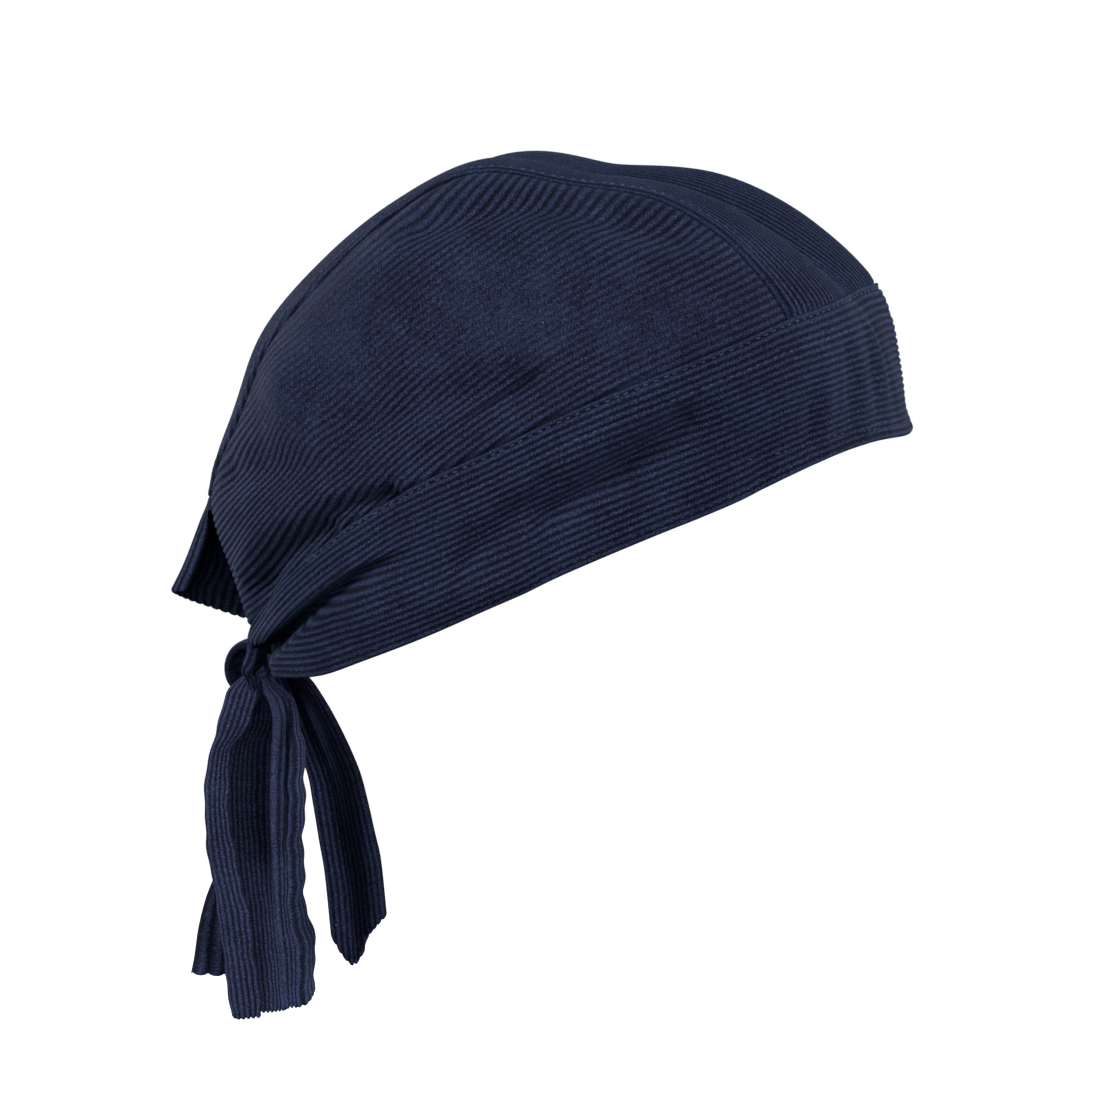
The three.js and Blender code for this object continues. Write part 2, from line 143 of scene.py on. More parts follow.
def bell(distance, width):
    """From 1 at no distance down to 0 at about twice the width."""
    return np.exp(-((distance / width) ** 2))


def smooth_step(value, low, high):
    t = np.clip((value - low) / (high - low), 0, 1)
    return t * t * (3 - 2 * t)


def find_limit(low, high, holds):
    """The value up to which a test holds, found by halving the range."""
    for _ in range(22):
        value = (low + high) / 2
        held = holds(value)
        low = np.where(held, value, low)
        high = np.where(held, high, value)
    return value


def unit(vectors):
    return vectors / np.linalg.norm(vectors, axis=-1, keepdims=True)


def middle_angle(y, z):
    """Degrees over the head: 0 at the forehead, 90 at the crown, 180 behind."""
    angle = np.degrees(np.arctan2(z, -y))
    return np.where(angle < -100, angle + 360, angle)


def squareness(angle):
    """The power of the form's rings, which are squarer over the crown."""
    lift = np.maximum(0, np.sin(np.radians(angle)))
    return ROUND_RINGS + (SQUARE_CROWN - ROUND_RINGS) * lift**1.5


def breadth_at(y):
    return HALF_BREADTH * (1 + WIDER_BEHIND * y / 100)


def form_level(place):
    """Under 1 inside the head form, over 1 outside it."""
    x, y, z = np.moveaxis(place - HEAD_CENTRE, -1, 0)
    angle = middle_angle(y, z)
    p = squareness(angle)
    radius = along(PROFILE, 1, angle)
    return (np.abs(x) / breadth_at(y)) ** p + (np.hypot(y, z) / radius) ** p


def over_crown(angle, x):
    """The place on the form by the middle-plane angle and the distance to one side."""
    angle, x = np.broadcast_arrays(np.asarray(angle, float), np.asarray(x, float))
    p = squareness(angle)
    radius = along(PROFILE, 1, angle)
    heading = np.radians(angle)
    reach = radius
    for _ in range(5):
        side = np.clip(np.abs(x) / breadth_at(-reach * np.cos(heading)), 0, 0.999)
        reach = radius * (1 - side**p) ** (1 / p)
    height = reach * np.sin(heading) + HEAD_CENTRE[2]
    return np.stack([x, -reach * np.cos(heading), height], -1)


def on_side(side, y, z):
    """The place on one side of the form by (y, z)."""

    def place_at(reach):
        return np.stack([side * reach, y, z], -1)

    def inside(reach):
        return form_level(place_at(reach)) < 1

    return place_at(find_limit(np.zeros(len(y)), np.full(len(y), 120.0), inside))


def fold_path(side, places):
    """A smooth path on one side of the form by three places (y, z)."""
    stations = np.column_stack([[0, 1, 2], np.reshape(places, (3, 2))])
    t = np.linspace(0, 2, 13)
    return on_side(side, along(stations, 1, t), along(stations, 2, t))


def distance_to(path, place):
    nearest = np.full(place.shape[:-1], 1e9)
    for start, end in zip(path[:-1], path[1:]):
        run = end - start
        t = np.clip((place - start) @ run / (run @ run), 0, 1)
        gap = place - start - t[..., None] * run
        nearest = np.minimum(nearest, np.sqrt((gap**2).sum(-1)))
    return nearest


fold_paths = []
for fold in FOLDS:
    fold_paths.append((-1, fold[0], fold[2], fold_path(-1, fold[3:])))
    fold_paths.append((1, fold[1], fold[2], fold_path(1, fold[3:])))


def strip_fold(place):
    """How far the strip's crest and crease move the cloth out."""
    angle = middle_angle(place[..., 1], place[..., 2] - HEAD_CENTRE[2])
    crest = along(STRIP, 3, angle) * bell(place[..., 0] - 16, 9)
    crease = along(STRIP, 2, angle) * bell(place[..., 0] + 9, 11)
    return np.where(angle > STRIP_END, 0, (crest - crease) * smooth_step(angle, 12, 28))


def cloth_at(place, lift=0.0):
    """The cloth's outer face over a place on the form, with the folds there."""
    push = strip_fold(place) + lift
    for side, depth, width, path in fold_paths:
        there = side * place[..., 0] > 0
        push[there] += depth * bell(distance_to(path, place[there]), width)
    ray = place - HEAD_CENTRE
    return place + ray * (push / np.linalg.norm(ray, axis=-1))[..., None]


# One rib: round on top, with a narrow groove on each side.
RIB_ROWS = np.array([0, 0.13, 0.31, 0.5, 0.69, 0.87])


def rib_rise(ribs):
    """From 0 between two ribs to 1 on the top of one."""
    return 1 - np.abs(2 * (ribs % 1) - 1) ** 2.4


def rib_lines(low, high):
    """Rows on the ribs from one edge to the other, counted in ribs."""
    whole = np.arange(math.floor(low), math.ceil(high) + 1)
    lines = (whole[:, None] + RIB_ROWS).ravel()
    inside = lines[(lines > low + 0.05) & (lines < high - 0.05)]
    return np.concatenate([[low], inside, [high]])


def even_columns(count, length):
    """Shares from 0 to 1 along a row, with three more close to each end."""
    ends = np.array([0.15, 0.4, 0.8]) / length
    middle = np.linspace(1.6 / length, 1 - 1.6 / length, count)
    return np.concatenate([[0], ends, middle, 1 - ends[::-1], [1]])


def round_edge(distance, thickness):
    """The share of the thickness that is left so near to a rounded edge."""
    part = 1 - np.clip(2 * distance / thickness, 0, 1)
    return np.maximum(np.sqrt(1 - part**2), 0.12)


def wobble(place, size):
    """A soft uneven swing from -1 to 1 over the cloth, with waves of about this size."""
    x, y, z = np.moveaxis(place / size, -1, 0)
    return (np.sin(2.1 * x + 3.3 * y + 1.3 * np.sin(2.7 * z + 1.1 * x))
            + np.sin(2.9 * z - 1.7 * y + 1.6 * np.sin(2.3 * y + 0.7) + 2.0)) / 2


def from_head(place, normal):
    """The same normals, turned over where they point into the cap."""
    return normal * np.sign(((place - HEAD_CENTRE) * normal).sum(-1))[..., None]


def run_along(place, axis):
    """The distance covered along one axis of a grid of places, from its first row."""
    steps = np.diff(place, axis=axis, prepend=np.take(place, [0], axis))
    return np.cumsum(np.linalg.norm(steps, axis=-1), axis)


def new_piece(name, points, faces):
    """A smooth mesh from places in millimetres."""
    mesh = bpy.data.meshes.new(name)
    mesh.from_pydata((points * MM).tolist(), [], faces, shade_flat=False)
    piece = bpy.data.objects.new(name, mesh)
    scene.collection.objects.link(piece)
    return piece


def ribbed_piece(name, points, faces, uv, relief=1.0):
    """A piece with what its finish reads: a map of its ribs, and how far they stand out, which
    sets the painted shade in their grooves.
    """
    piece = new_piece(name, points, faces)
    corners = np.empty(len(piece.data.loops), np.int32)
    piece.data.loops.foreach_get("vertex_index", corners)
    layer = piece.data.uv_layers.new(name="ribs")
    layer.data.foreach_set("uv", uv[corners].astype(np.float32).ravel())
    raised = piece.data.attributes.new("relief", "FLOAT", "POINT")
    raised.data.foreach_set("value", np.broadcast_to(relief, len(points)).astype(np.float32))
    return piece


def turned_out(points, faces):
    """The faces of a closed mesh, turned over if they face inwards."""
    a, b, c, d = np.moveaxis(points[faces], 1, 0)
    volume = np.einsum("ij,ij->", a, np.cross(b, c) + np.cross(c, d))
    return (faces if volume > 0 else faces[:, ::-1]).tolist()


def sheet_between(name, outer, inner, uv, relief):
    """A closed sheet between two grids of places, one for each face of the cloth."""
    rows, columns = outer.shape[:2]
    number = np.arange(rows * columns).reshape(rows, columns)
    a, b, c, d = number[:-1, :-1], number[:-1, 1:], number[1:, 1:], number[1:, :-1]
    front = np.stack([a, b, c, d], -1).reshape(-1, 4)
    back = front[:, ::-1] + rows * columns
    rim = np.concatenate([number[0], number[1:, -1], number[-1, -2::-1], number[-2:0:-1, 0]])
    after = np.roll(rim, -1)
    edge = np.stack([after, rim, rim + rows * columns, after + rows * columns], -1)
    points = np.concatenate([outer.reshape(-1, 3), inner.reshape(-1, 3)])
    faces = np.concatenate([front, back, edge])
    relief = np.tile(np.broadcast_to(relief, outer.shape[:2]).ravel(), 2)
    uv = np.concatenate([uv.reshape(-1, 2)] * 2)
    return ribbed_piece(name, points, turned_out(points, faces), uv, relief)


def ribbed_sheet(name, middle, normal, thickness, edge_gap, rise, inside, lines, run, relief=1.0):
    """A sheet round its middle face, thin at its edges. The ribs rise on its outer face and by
    a share of that on its inner face. Its map counts ribs one way and millimetres the other."""
    edge = round_edge(edge_gap, thickness)
    outer = middle + normal * (edge * (thickness / 2 + rise))[..., None]
    inner = middle - normal * (edge * (thickness / 2 + inside * rise))[..., None]
    uv = np.stack([np.broadcast_to(lines[:, None], edge.shape), run], -1)
    return sheet_between(name, outer, inner, uv, relief)


def strip_half(angle):
    return along(STRIP, 1, angle)


def band_seam(angle):
    return along(BAND, 1, np.abs(angle))


def round_angle(place):
    return np.abs(np.degrees(np.arctan2(place[..., 0], -place[..., 1])))


def strip_front(share):
    """The middle-plane angle where a line of the strip meets the headband's seam."""

    def under_band(angle):
        place = over_crown(angle, share * strip_half(angle))
        return place[..., 2] < band_seam(round_angle(place)) - STRIP_TUCK

    return find_limit(np.full(np.shape(share), 12.0), np.full(np.shape(share), 40.0), under_band)


# Ribs run parallel behind the widest place, where the seams cut them off one by one.
strip_ribs = rib_lines(-STRIP_RIBS / 2, STRIP_RIBS / 2)
strip_share = 2 * strip_ribs / STRIP_RIBS
seam_angles = np.linspace(STRAIGHT_FROM, STRIP_END, 400)
seam_halves = strip_half(seam_angles)
strip_stop = np.interp(-np.abs(strip_share) * FULL_HALF, -seam_halves, seam_angles)
strip_start = strip_front(strip_share)
strip_columns = even_columns(116, 230)
strip_angle = mix(strip_start[:, None], strip_stop[:, None], strip_columns)


def strip_width(angle):
    return np.where(angle < STRAIGHT_FROM, strip_half(angle), FULL_HALF)


strip_x = strip_share[:, None] * strip_width(strip_angle)


def strip_outer(angle, x):
    return cloth_at(over_crown(angle, x))


place = strip_outer(strip_angle, strip_x)
normal = np.cross(
    strip_outer(strip_angle, strip_x + 0.2) - strip_outer(strip_angle, strip_x - 0.2),
    strip_outer(strip_angle - 0.2, strip_x) - strip_outer(strip_angle + 0.2, strip_x),
)
normal = from_head(place, unit(normal))
seam_gap = strip_half(strip_angle) - np.abs(strip_x)
end_gap = (STRIP_END - strip_angle) * CROWN_DEGREE
front_gap = (strip_angle - strip_start[:, None]) * CROWN_DEGREE
edge_gap = np.minimum(np.minimum(seam_gap, end_gap), front_gap)
# The seam allowance inside raises a soft ridge along each seam, and the edge rolls down.
ridge = mix(0.5, 0.4, smooth_step(strip_angle, 70, 120))
behind = smooth_step(strip_angle, 85, 110)
roll = ridge * bell(seam_gap - 2.2, 1.3) - 0.3 * (1 - smooth_step(seam_gap, 0, 1.0)) ** 2
roll = roll + behind * (0.5 + 0.3 * wobble(place, 9)) * (1 - smooth_step(seam_gap, 1.5, 4))
roll = roll + 0.1 * (1 - smooth_step(end_gap, 0, 4))
tuck = -1.1 * (1 - smooth_step(front_gap, 0.3, 2.6))
rise = STRIP_RIB_HEIGHT * rib_rise(strip_ribs)[:, None] * (0.8 + 0.25 * wobble(place, 21))
rise = rise * smooth_step(seam_gap, 0.4, 3.5)
middle = place + normal * (roll + tuck - CLOTH / 2)[..., None]
run_angle = np.linspace(10, STRIP_END, 361)
strip_run = run_along(strip_outer(run_angle, np.zeros(len(run_angle))), 0)
crown_strip = ribbed_sheet(
    "crown_strip_cloth", middle, normal, CLOTH, edge_gap, rise, INSIDE_RIBS, strip_ribs,
    np.interp(strip_angle, run_angle, strip_run),
)


class Tone:
    """A number or colour in a finish. Sums and products of it add Math nodes."""

    def __init__(self, tree, socket=None):
        self.tree = tree
        self.socket = socket

    def node(self, kind, settings=None, values=None, output=0):
        made = self.tree.nodes.new(kind)
        for name, setting in (settings or {}).items():
            setattr(made, name, setting)
        for name, value in (values or {}).items():
            if isinstance(value, Tone):
                self.tree.links.new(value.socket, made.inputs[name])
            else:
                made.inputs[name].default_value = value
        return Tone(self.tree, made.outputs[output] if made.outputs else None)

    def maths(self, operation, *values):
        return self.node("ShaderNodeMath", {"operation": operation}, dict(enumerate(values)))

    def __add__(self, other):
        return self.maths("ADD", self, other)

    def __sub__(self, other):
        return self.maths("SUBTRACT", self, other)

    def __rsub__(self, other):
        return self.maths("SUBTRACT", other, self)

    def __mul__(self, other):
        return self.maths("MULTIPLY", self, other)

    __radd__ = __add__
    __rmul__ = __mul__


def ribbed_cotton(name, colour, lit):
    """Navy rib knit: grooves with painted shade, rows of fine stitches, a fuzz of loose fibre
    with painted highlights, and lint.
    """
    material = bpy.data.materials.new(name)
    material.use_nodes = True
    tree = material.node_tree
    tree.nodes.clear()
    start = Tone(tree)
    ribs_map = start.node("ShaderNodeUVMap", {"uv_map": "ribs"})
    ribs = start.node("ShaderNodeSeparateXYZ", {}, {0: ribs_map})
    rows = Tone(tree, ribs.socket.node.outputs[1])
    spot = start.node("ShaderNodeTexCoord", output="Object")

    def noise(scale, detail, rough=0.5):
        values = {"Vector": spot, "Scale": scale, "Detail": detail, "Roughness": rough}
        return start.node("ShaderNodeTexNoise", {"normalize": True}, values)

    # Rows of stitches 1.07 mm apart cross each rib, and loose fibre breaks them up.
    crest = start.maths("ABSOLUTE", start.maths("SINE", ribs * math.pi))
    fibre = noise(2500, 2.0, 0.6)
    tuft = noise(850, 3.0, 0.7)
    patches = noise(420, 2.0)
    cloud = noise(75, 3.0)
    turn = rows * (1 / 1.07) + crest * 0.3 + (tuft - 0.5) * 1.3
    knit = start.maths("SINE", turn * math.tau)
    height = knit * (0.05 + 0.25 * patches) + (fibre - 0.5) * 2.4 + (tuft - 0.5) * 1.7
    bump = start.node(
        "ShaderNodeBump", {}, {"Height": height, "Strength": 0.9, "Distance": 0.0002})
    relief = start.node("ShaderNodeAttribute", {"attribute_name": "relief"}, output=2)
    # Painted highlights: specks of bright fibre, brightest on the rib crests.
    painted_glint = start.maths("MAXIMUM", fibre - 0.5, -0.04) * (2.0 + 4.5 * crest)
    # Painted shade: the grooves between the ribs are darker than the crests, by as much as the
    # relief attribute gives.
    shade = (0.90 * crest * crest - 0.54) * relief + knit * patches * 0.15 + painted_glint
    shade = 0.40 + shade + (tuft - 0.5) * 1.2 + (cloud - 0.5) * 0.8
    shade = start.maths("MAXIMUM", start.maths("MINIMUM", shade, 1.7), 0.0)
    cloth = start.node(
        "ShaderNodeMix", {"data_type": "RGBA", "clamp_factor": False},
        {"Factor": shade, "A": (*colour, 1), "B": (*lit, 1)}, output="Result")
    lint = start.node("ShaderNodeTexVoronoi", {}, {"Vector": spot, "Scale": 120.0})
    lint_colour = Tone(tree, lint.socket.node.outputs["Color"])
    chosen = start.node("ShaderNodeSeparateXYZ", {}, {0: lint_colour})
    speck = start.maths("LESS_THAN", lint, 0.032) * start.maths("GREATER_THAN", chosen, 0.72)
    cloth = start.node(
        "ShaderNodeMix", {"data_type": "RGBA"},
        {"Factor": speck * 0.5, "A": cloth, "B": (0.16, 0.18, 0.28, 1)}, output="Result")
    finish = start.node("ShaderNodeBsdfPrincipled", {}, {
        "Base Color": cloth,
        "Roughness": 0.95,
        "Specular IOR Level": 0.08,
        "Sheen Weight": 0.05,
        "Sheen Roughness": 0.4,
        "Sheen Tint": (0.25, 0.5, 1.0, 1),
        "Normal": bump,
    })
    start.node("ShaderNodeOutputMaterial", {}, {"Surface": finish})
    return material


# The strip and the tail flap take a copy of the same cotton painted darker than the panels', as
# painted shade against the light that falls on the crown.
darker_strip_finish = ribbed_cotton("crown_cotton_painted_darker", (0.0037, 0.0048, 0.0120), (0.0220, 0.0312, 0.0770))
crown_strip.data.materials.append(darker_strip_finish)
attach(crown_strip, "root")
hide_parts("crown_strip")

# ======== Side panels ========
# One panel of the same cotton on each side, cut on the slant so that its ribs climb from
# the nape towards the forehead. It is sewn in under the strip and under the headband.
PANEL_LAP = 0.7
PANEL_TUCK = 1.3
PANEL_RIB = 2.2
PANEL_RIB_HEIGHT = 0.5
PANEL_LENGTH = 170
# The panel's way down over the form is this much longer than the straight one.
PANEL_BULGE = 1.12
REAR_CORNER = 160
# How steeply the ribs climb towards the forehead and towards the crown's middle.
RIB_CLIMB = 0.682
RIB_LEAN = 0.271
# Places (y, z) where the panel is pulled taut, with the reach of each along y and z.
CALM_PLACES = ((-4, -37, 36, 18), (48, -40, 26, 26), (62, -62, 20, 12), (-40, -40, 24, 12))
front_angle = float(strip_front(np.array(1.0)))
front_corner = float(round_angle(over_crown(front_angle, strip_half(front_angle))))


def places_at(at, key, places):
    """Places read off a line of places at these values of its key."""
    return np.stack([np.interp(at, key, places[:, i]) for i in range(3)], -1)


def on_form(place):
    """Moves places on to the head form, along the rays from its centre."""
    ray = place - HEAD_CENTRE
    x, y, z = np.moveaxis(ray, -1, 0)
    angle = middle_angle(y, z)
    p = squareness(angle)
    radius = along(PROFILE, 1, angle)
    reach = np.ones_like(x)
    for _ in range(6):
        side = np.abs(x) / breadth_at(reach * y)
        reach = (side**p + (np.hypot(y, z) / radius) ** p) ** (-1 / p)
    return HEAD_CENTRE + ray * reach[..., None]


def round_head(angle, height):
    """The place on the form at a height. A positive angle goes round by the wearer's right."""
    angle, height = np.broadcast_arrays(np.asarray(angle, float), np.asarray(height, float))
    heading = np.radians(angle)

    def place_at(reach):
        return np.stack([-reach * np.sin(heading), -reach * np.cos(heading), height], -1)

    def inside(reach):
        return form_level(place_at(reach)) < 1

    return place_at(find_limit(np.full(angle.shape, 5.0), np.full(angle.shape, 160.0), inside))


def outward(face, u, v):
    """Normals of a face that is a function of the shares u and v."""
    step = 0.0015
    across = face(np.clip(u + step, 0, 1), v) - face(np.clip(u - step, 0, 1), v)
    down = face(u, np.clip(v + step, 0, 1)) - face(u, np.clip(v - step, 0, 1))
    return unit(np.cross(across, down))


def panel_place(side, u, v):
    """A place on the form: u from the front corner to the rear edge, v down from the strip."""
    stations = np.linspace(0, 1, 200)
    angle = mix(front_angle + 1.5, STRIP_END, stations)
    top = over_crown(angle, side * (strip_half(angle) - PANEL_LAP))
    round_there = mix(front_corner + 1.0, REAR_CORNER, stations)
    bottom = round_head(-side * round_there, band_seam(round_there) - PANEL_TUCK)
    top = places_at(u, stations, top)
    bottom = places_at(u, stations, bottom)
    length = np.linalg.norm(bottom - top, axis=-1) * PANEL_BULGE
    return on_form(mix(top, bottom, v[..., None])), v * length, (1 - v) * length


def rib_field(place):
    """Millimetres across the slanting ribs, which bend a little on their way round."""
    side = np.abs(place[..., 0]) / 100
    y = place[..., 1] / 100
    z = (place[..., 2] + 60) / 100
    bend = 0.328 * y**2 - 0.057 * y * z + 0.122 * z**2
    return 100 * (z + RIB_CLIMB * y + RIB_LEAN * side + bend)


def panel_face(side, u, v):
    """The panel's outer face, sunk where the strip and the headband lie over it."""
    place, below_top, above_band = panel_place(side, u, v)
    seam_depth = mix(0.5, 1.9, smooth_step(place[..., 1], -10, 40))
    sunk = -seam_depth * (1 - smooth_step(below_top, 0.5, 1.9))
    sunk = sunk - 1.6 * (1 - smooth_step(above_band, 0.8, 2.8))
    return cloth_at(place, sunk)


def side_panel(name, side):
    """A panel with a row of its mesh along each line of the slanting ribs."""
    u_grid, v_grid = np.meshgrid(np.linspace(0, 1, 241), np.linspace(0, 1, 121), indexing="ij")
    field = rib_field(panel_place(side, u_grid, v_grid)[0]) / PANEL_RIB
    u_fine = np.linspace(0, 1, 3001)
    top = np.interp(u_fine, u_grid[:, 0], field[:, 0])
    bottom = np.interp(u_fine, u_grid[:, 0], field[:, -1])
    lines = rib_lines(bottom.min() + 0.25, top.max() - 0.25)
    shares = even_columns(112, 150)
    u_rows = []
    v_rows = []
    for line in lines:
        inside = np.flatnonzero((line <= top) & (line >= bottom))
        u_row = mix(u_fine[inside[0]], u_fine[inside[-1]], shares)
        v_column = [np.interp(-line, -column, v_grid[0]) for column in field]
        u_rows.append(u_row)
        v_rows.append(np.interp(u_row, u_grid[:, 0], v_column))
    u = np.array(u_rows)
    v = np.array(v_rows)

    def face(u, v):
        return panel_face(side, u, v)

    place = face(u, v)
    _, below_top, above_band = panel_place(side, u, v)
    from_rear = (1 - u) * PANEL_LENGTH
    edge_gap = np.minimum(np.minimum(below_top, above_band), from_rear)
    calm = np.zeros(u.shape)
    for y, z, reach, height in CALM_PLACES:
        calm = np.maximum(calm, bell(np.hypot(
            (place[..., 1] - y) / reach, (place[..., 2] - z) / height), 1.0))
    rise = PANEL_RIB_HEIGHT * (1 - 0.84 * calm) * (0.85 + 0.25 * wobble(place, 19))
    rise = rise * rib_rise(lines)[:, None] * smooth_step(below_top, 1.5, 5)
    # Rows of stitches are counted along each rib, and agree from rib to rib.
    run = run_along(place, 1)
    along_rib = np.empty_like(run)
    widest = int(np.argmax(u[:, -1] - u[:, 0]))
    along_rib[widest] = run[widest] - np.interp(0.5, u[widest], run[widest])
    for i in [*range(widest + 1, len(lines)), *range(widest - 1, -1, -1)]:
        last = i - 1 if i > widest else i + 1
        joint = np.clip(0.5, u[i, 0], u[i, -1])
        offset = np.interp(joint, u[last], along_rib[last]) - np.interp(joint, u[i], run[i])
        along_rib[i] = run[i] + offset
    normal = from_head(place, outward(face, u, v))
    # Where the panel is taut its ribs rise less and their grooves get less painted shade.
    return ribbed_sheet(
        name, place - normal * CLOTH / 2, normal, CLOTH, edge_gap, rise, INSIDE_RIBS, lines,
        along_rib, 1 - 0.85 * calm,
    )


panel_finish = ribbed_cotton("panel_cotton", (0.0040, 0.0052, 0.0125), (0.0262, 0.0348, 0.0810))
for side, node in ((-1, "side_panel_right"), (1, "side_panel_left")):
    panel = side_panel(node + "_cloth", side)
    panel.data.materials.append(panel_finish)
    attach(panel, "root")
    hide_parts(node)

# ======== Headband ========
# A double band of the same cotton round the head, ribs lengthwise, with its upper edge folded
# over the panels and topstitched twice. Its two ends are gathered into the knot behind.
BAND_CLOTH = 2.0
BAND_END = 172
BAND_PROUD = 0.3
BAND_RIB = 1.9
BAND_RIB_HEIGHT = 0.52
# Length round the band for one degree, as in front and near the knot.
BAND_DEGREE = 1.6
UPPER_RIBS = 9
LOWER_RIBS = 13
BAND_RIBS = UPPER_RIBS + LOWER_RIBS
# The two topstitched rows: distance below the seam, and how much each pulls the cloth in and
# flattens its ribs.
TOPSTITCH_DROPS = (1.7, 8.4)
TOPSTITCH_GROOVES = (0.4, 0.16)
TOPSTITCH_FLATTENING = (0.7, 0.4)
HEM_STITCH_RISE = 2.3
# The long fold that takes up the surplus ribs near the knot: angle, distance below the seam
# and depth.
FOLD_LINE = np.array([
    [0, 16.5, 0], [60, 17.6, 0], [90, 17.3, 0], [104, 17, 0.2], [111, 15.6, 1.4],
    [115, 14.6, 3.0], [119, 13.8, 3.8], [124, 13.4, 5.0], [129, 13.0, 5.2], [137, 12.2, 6.5],
    [146, 10.8, 8.0], [151, 9.2, 8.0], [156, 6.6, 8], [163, 4.4, 7], [172, 3, 5],
])
# Upright puckers: angle round, height of the middle, half length, width and rise, which is
# eased all over by one share.
PUCKER_EASE = 0.62
PUCKERS = np.array([
    [31, -66, 9, 2.2, -1.4], [27.5, -62, 12, 2.0, 1.1], [22, -58, 12, 2.0, -1.6],
    [18.5, -60, 13, 2.0, 1.3], [14, -56, 13, 2.2, -2.0], [10.5, -57, 14, 2.0, 1.2],
    [6, -52, 14, 2.6, -1.6], [-7, -55, 14, 2.4, -1.2], [-15, -60, 12, 2.2, -1.3],
    [-24, -60, 12, 2.2, 0.9], [40, -78, 9, 3, -1.0], [52, -84, 8, 4, 0.8], [0, -52, 13, 26, -2.1],
])


def band_rim(angle):
    return along(BAND, 2, np.abs(angle))


def packed(distance, full, room, squeeze):
    """Ribs keep their width as far as the fold, which swallows the rest."""
    margin = 1.4
    even = distance * room / full
    past = np.exp(-np.maximum(distance - room + margin, 0) / margin)
    kept = np.where(distance < room - margin, distance, room - margin * past)
    return mix(even, mix(kept, even, 0.05), squeeze)


def band_drop(angle, ribs):
    """The distance of a line of the ribs below the upper seam."""
    whole = band_seam(angle) - band_rim(angle)
    fold = along(FOLD_LINE, 1, np.abs(angle))
    squeeze = smooth_step(np.abs(angle), 104, 118)
    above = packed(ribs * BAND_RIB, UPPER_RIBS * BAND_RIB, fold, squeeze)
    below = packed((BAND_RIBS - ribs) * BAND_RIB, LOWER_RIBS * BAND_RIB, whole - fold, squeeze)
    return np.where(ribs < UPPER_RIBS, above, whole - below)


def band_face(u, v):
    """The band's outer face: u from its left end round to its right end, v down."""
    angle = mix(-BAND_END, BAND_END, u)
    drop = band_drop(angle, v * BAND_RIBS)
    height = band_seam(angle) - drop
    place = round_head(angle, height)
    push = BAND_PROUD - 0.5 * (1 - smooth_step(drop, 0, 1.0)) ** 2
    push = push + 0.35 * bell(drop - 1.0, 0.6)
    for row, groove in zip(TOPSTITCH_DROPS, TOPSTITCH_GROOVES):
        push = push - groove * bell(drop - row, 0.6)
    above_rim = height - band_rim(angle)
    push = push - 0.25 * bell(above_rim - HEM_STITCH_RISE, 0.6)
    # The surplus sinks under the upper ribs, and near the knot the lower ribs turn inwards.
    round_there = np.abs(angle)
    below_fold = drop - along(FOLD_LINE, 1, round_there)
    one_side = np.where(angle < 0, 0.45, 1.0)
    depth = along(FOLD_LINE, 2, round_there) * one_side
    soft = 1 - smooth_step(round_there, 122, 142)
    sink = smooth_step(below_fold, -0.6 - 1.0 * soft, 0.6 + 0.8 * soft)
    sink = sink * (1 - smooth_step(below_fold, 2.6, 5.6 + 1.5 * soft))
    push = push + 0.17 * depth * bell(below_fold + 2.2, 2.0) - depth * sink
    turned = smooth_step(round_there, 149, 165) * smooth_step(below_fold, -0.5, 2.0)
    push = push - 6 * one_side * turned * (1 - 0.5 * sink)
    # The rim stands out a little at the forehead.
    push = push + 2.1 * bell(above_rim, 4.0) * bell(angle, 30)
    for at, middle, reach, width, high in PUCKERS:
        swell = bell((angle - at) * BAND_DEGREE, width) * bell(height - middle, reach)
        push = push + PUCKER_EASE * high * swell
    return cloth_at(place, push)


def band_stations(count_front, count_back):
    """Shares round the band, with more in front, where the puckers are, and at its ends."""
    front = np.linspace(-42, 42, count_front)
    back = np.linspace(42, BAND_END - 1.2, count_back)[1:]
    ends = BAND_END - np.array([0.7, 0.35, 0.12, 0])
    angle = np.concatenate([-ends[::-1], -back[::-1], front, back, ends])
    return (angle + BAND_END) / (2 * BAND_END)


band_lines = rib_lines(0, BAND_RIBS)
band_v, band_u = np.meshgrid(band_lines / BAND_RIBS, band_stations(120, 94), indexing="ij")
band_angle = mix(-BAND_END, BAND_END, band_u)
place = band_face(band_u, band_v)
drop = band_drop(band_angle, band_v * BAND_RIBS)
above_rim = band_seam(band_angle) - band_rim(band_angle) - drop
spacing = np.gradient(drop, axis=0) / np.gradient(band_lines * BAND_RIB)[:, None]
from_knot = (BAND_END - np.abs(band_angle)) * BAND_DEGREE
edge_gap = np.minimum(np.minimum(drop, above_rim), from_knot)
rise = BAND_RIB_HEIGHT * rib_rise(band_lines)[:, None] * np.clip(spacing * 1.2, 0, 1)
rise = rise * (0.85 + 0.25 * wobble(place, 17))
rise = rise * mix(0.35, 1, smooth_step(np.minimum(drop, above_rim), 0.3, 2.6))
for row, flat in zip(TOPSTITCH_DROPS, TOPSTITCH_FLATTENING):
    rise = rise * (1 - flat * bell(drop - row, 0.7))
normal = from_head(place, outward(band_face, band_u, band_v))
band_run = run_along(place[len(band_lines) // 2], 0)
headband = ribbed_sheet(
    "headband_cloth", place - normal * BAND_CLOTH / 2, normal, BAND_CLOTH, edge_gap, rise,
    INSIDE_RIBS, band_lines, np.broadcast_to(band_run, band_u.shape),
)
band_finish = ribbed_cotton("band_cotton", (0.0034, 0.0045, 0.0110), (0.0240, 0.0338, 0.0810))
headband.data.materials.append(band_finish)
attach(headband, "root")
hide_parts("headband")

# ======== Tail flap ========
# The loose end of the crown cloth behind the head. Its left edge is tucked under the left
# panel, its right edge stands free, and its cut hem shows the ends of the ribs.
TAIL_RIBS = 30
TAIL_RIB_HEIGHT = 0.34
TAIL_WIDTH = 44
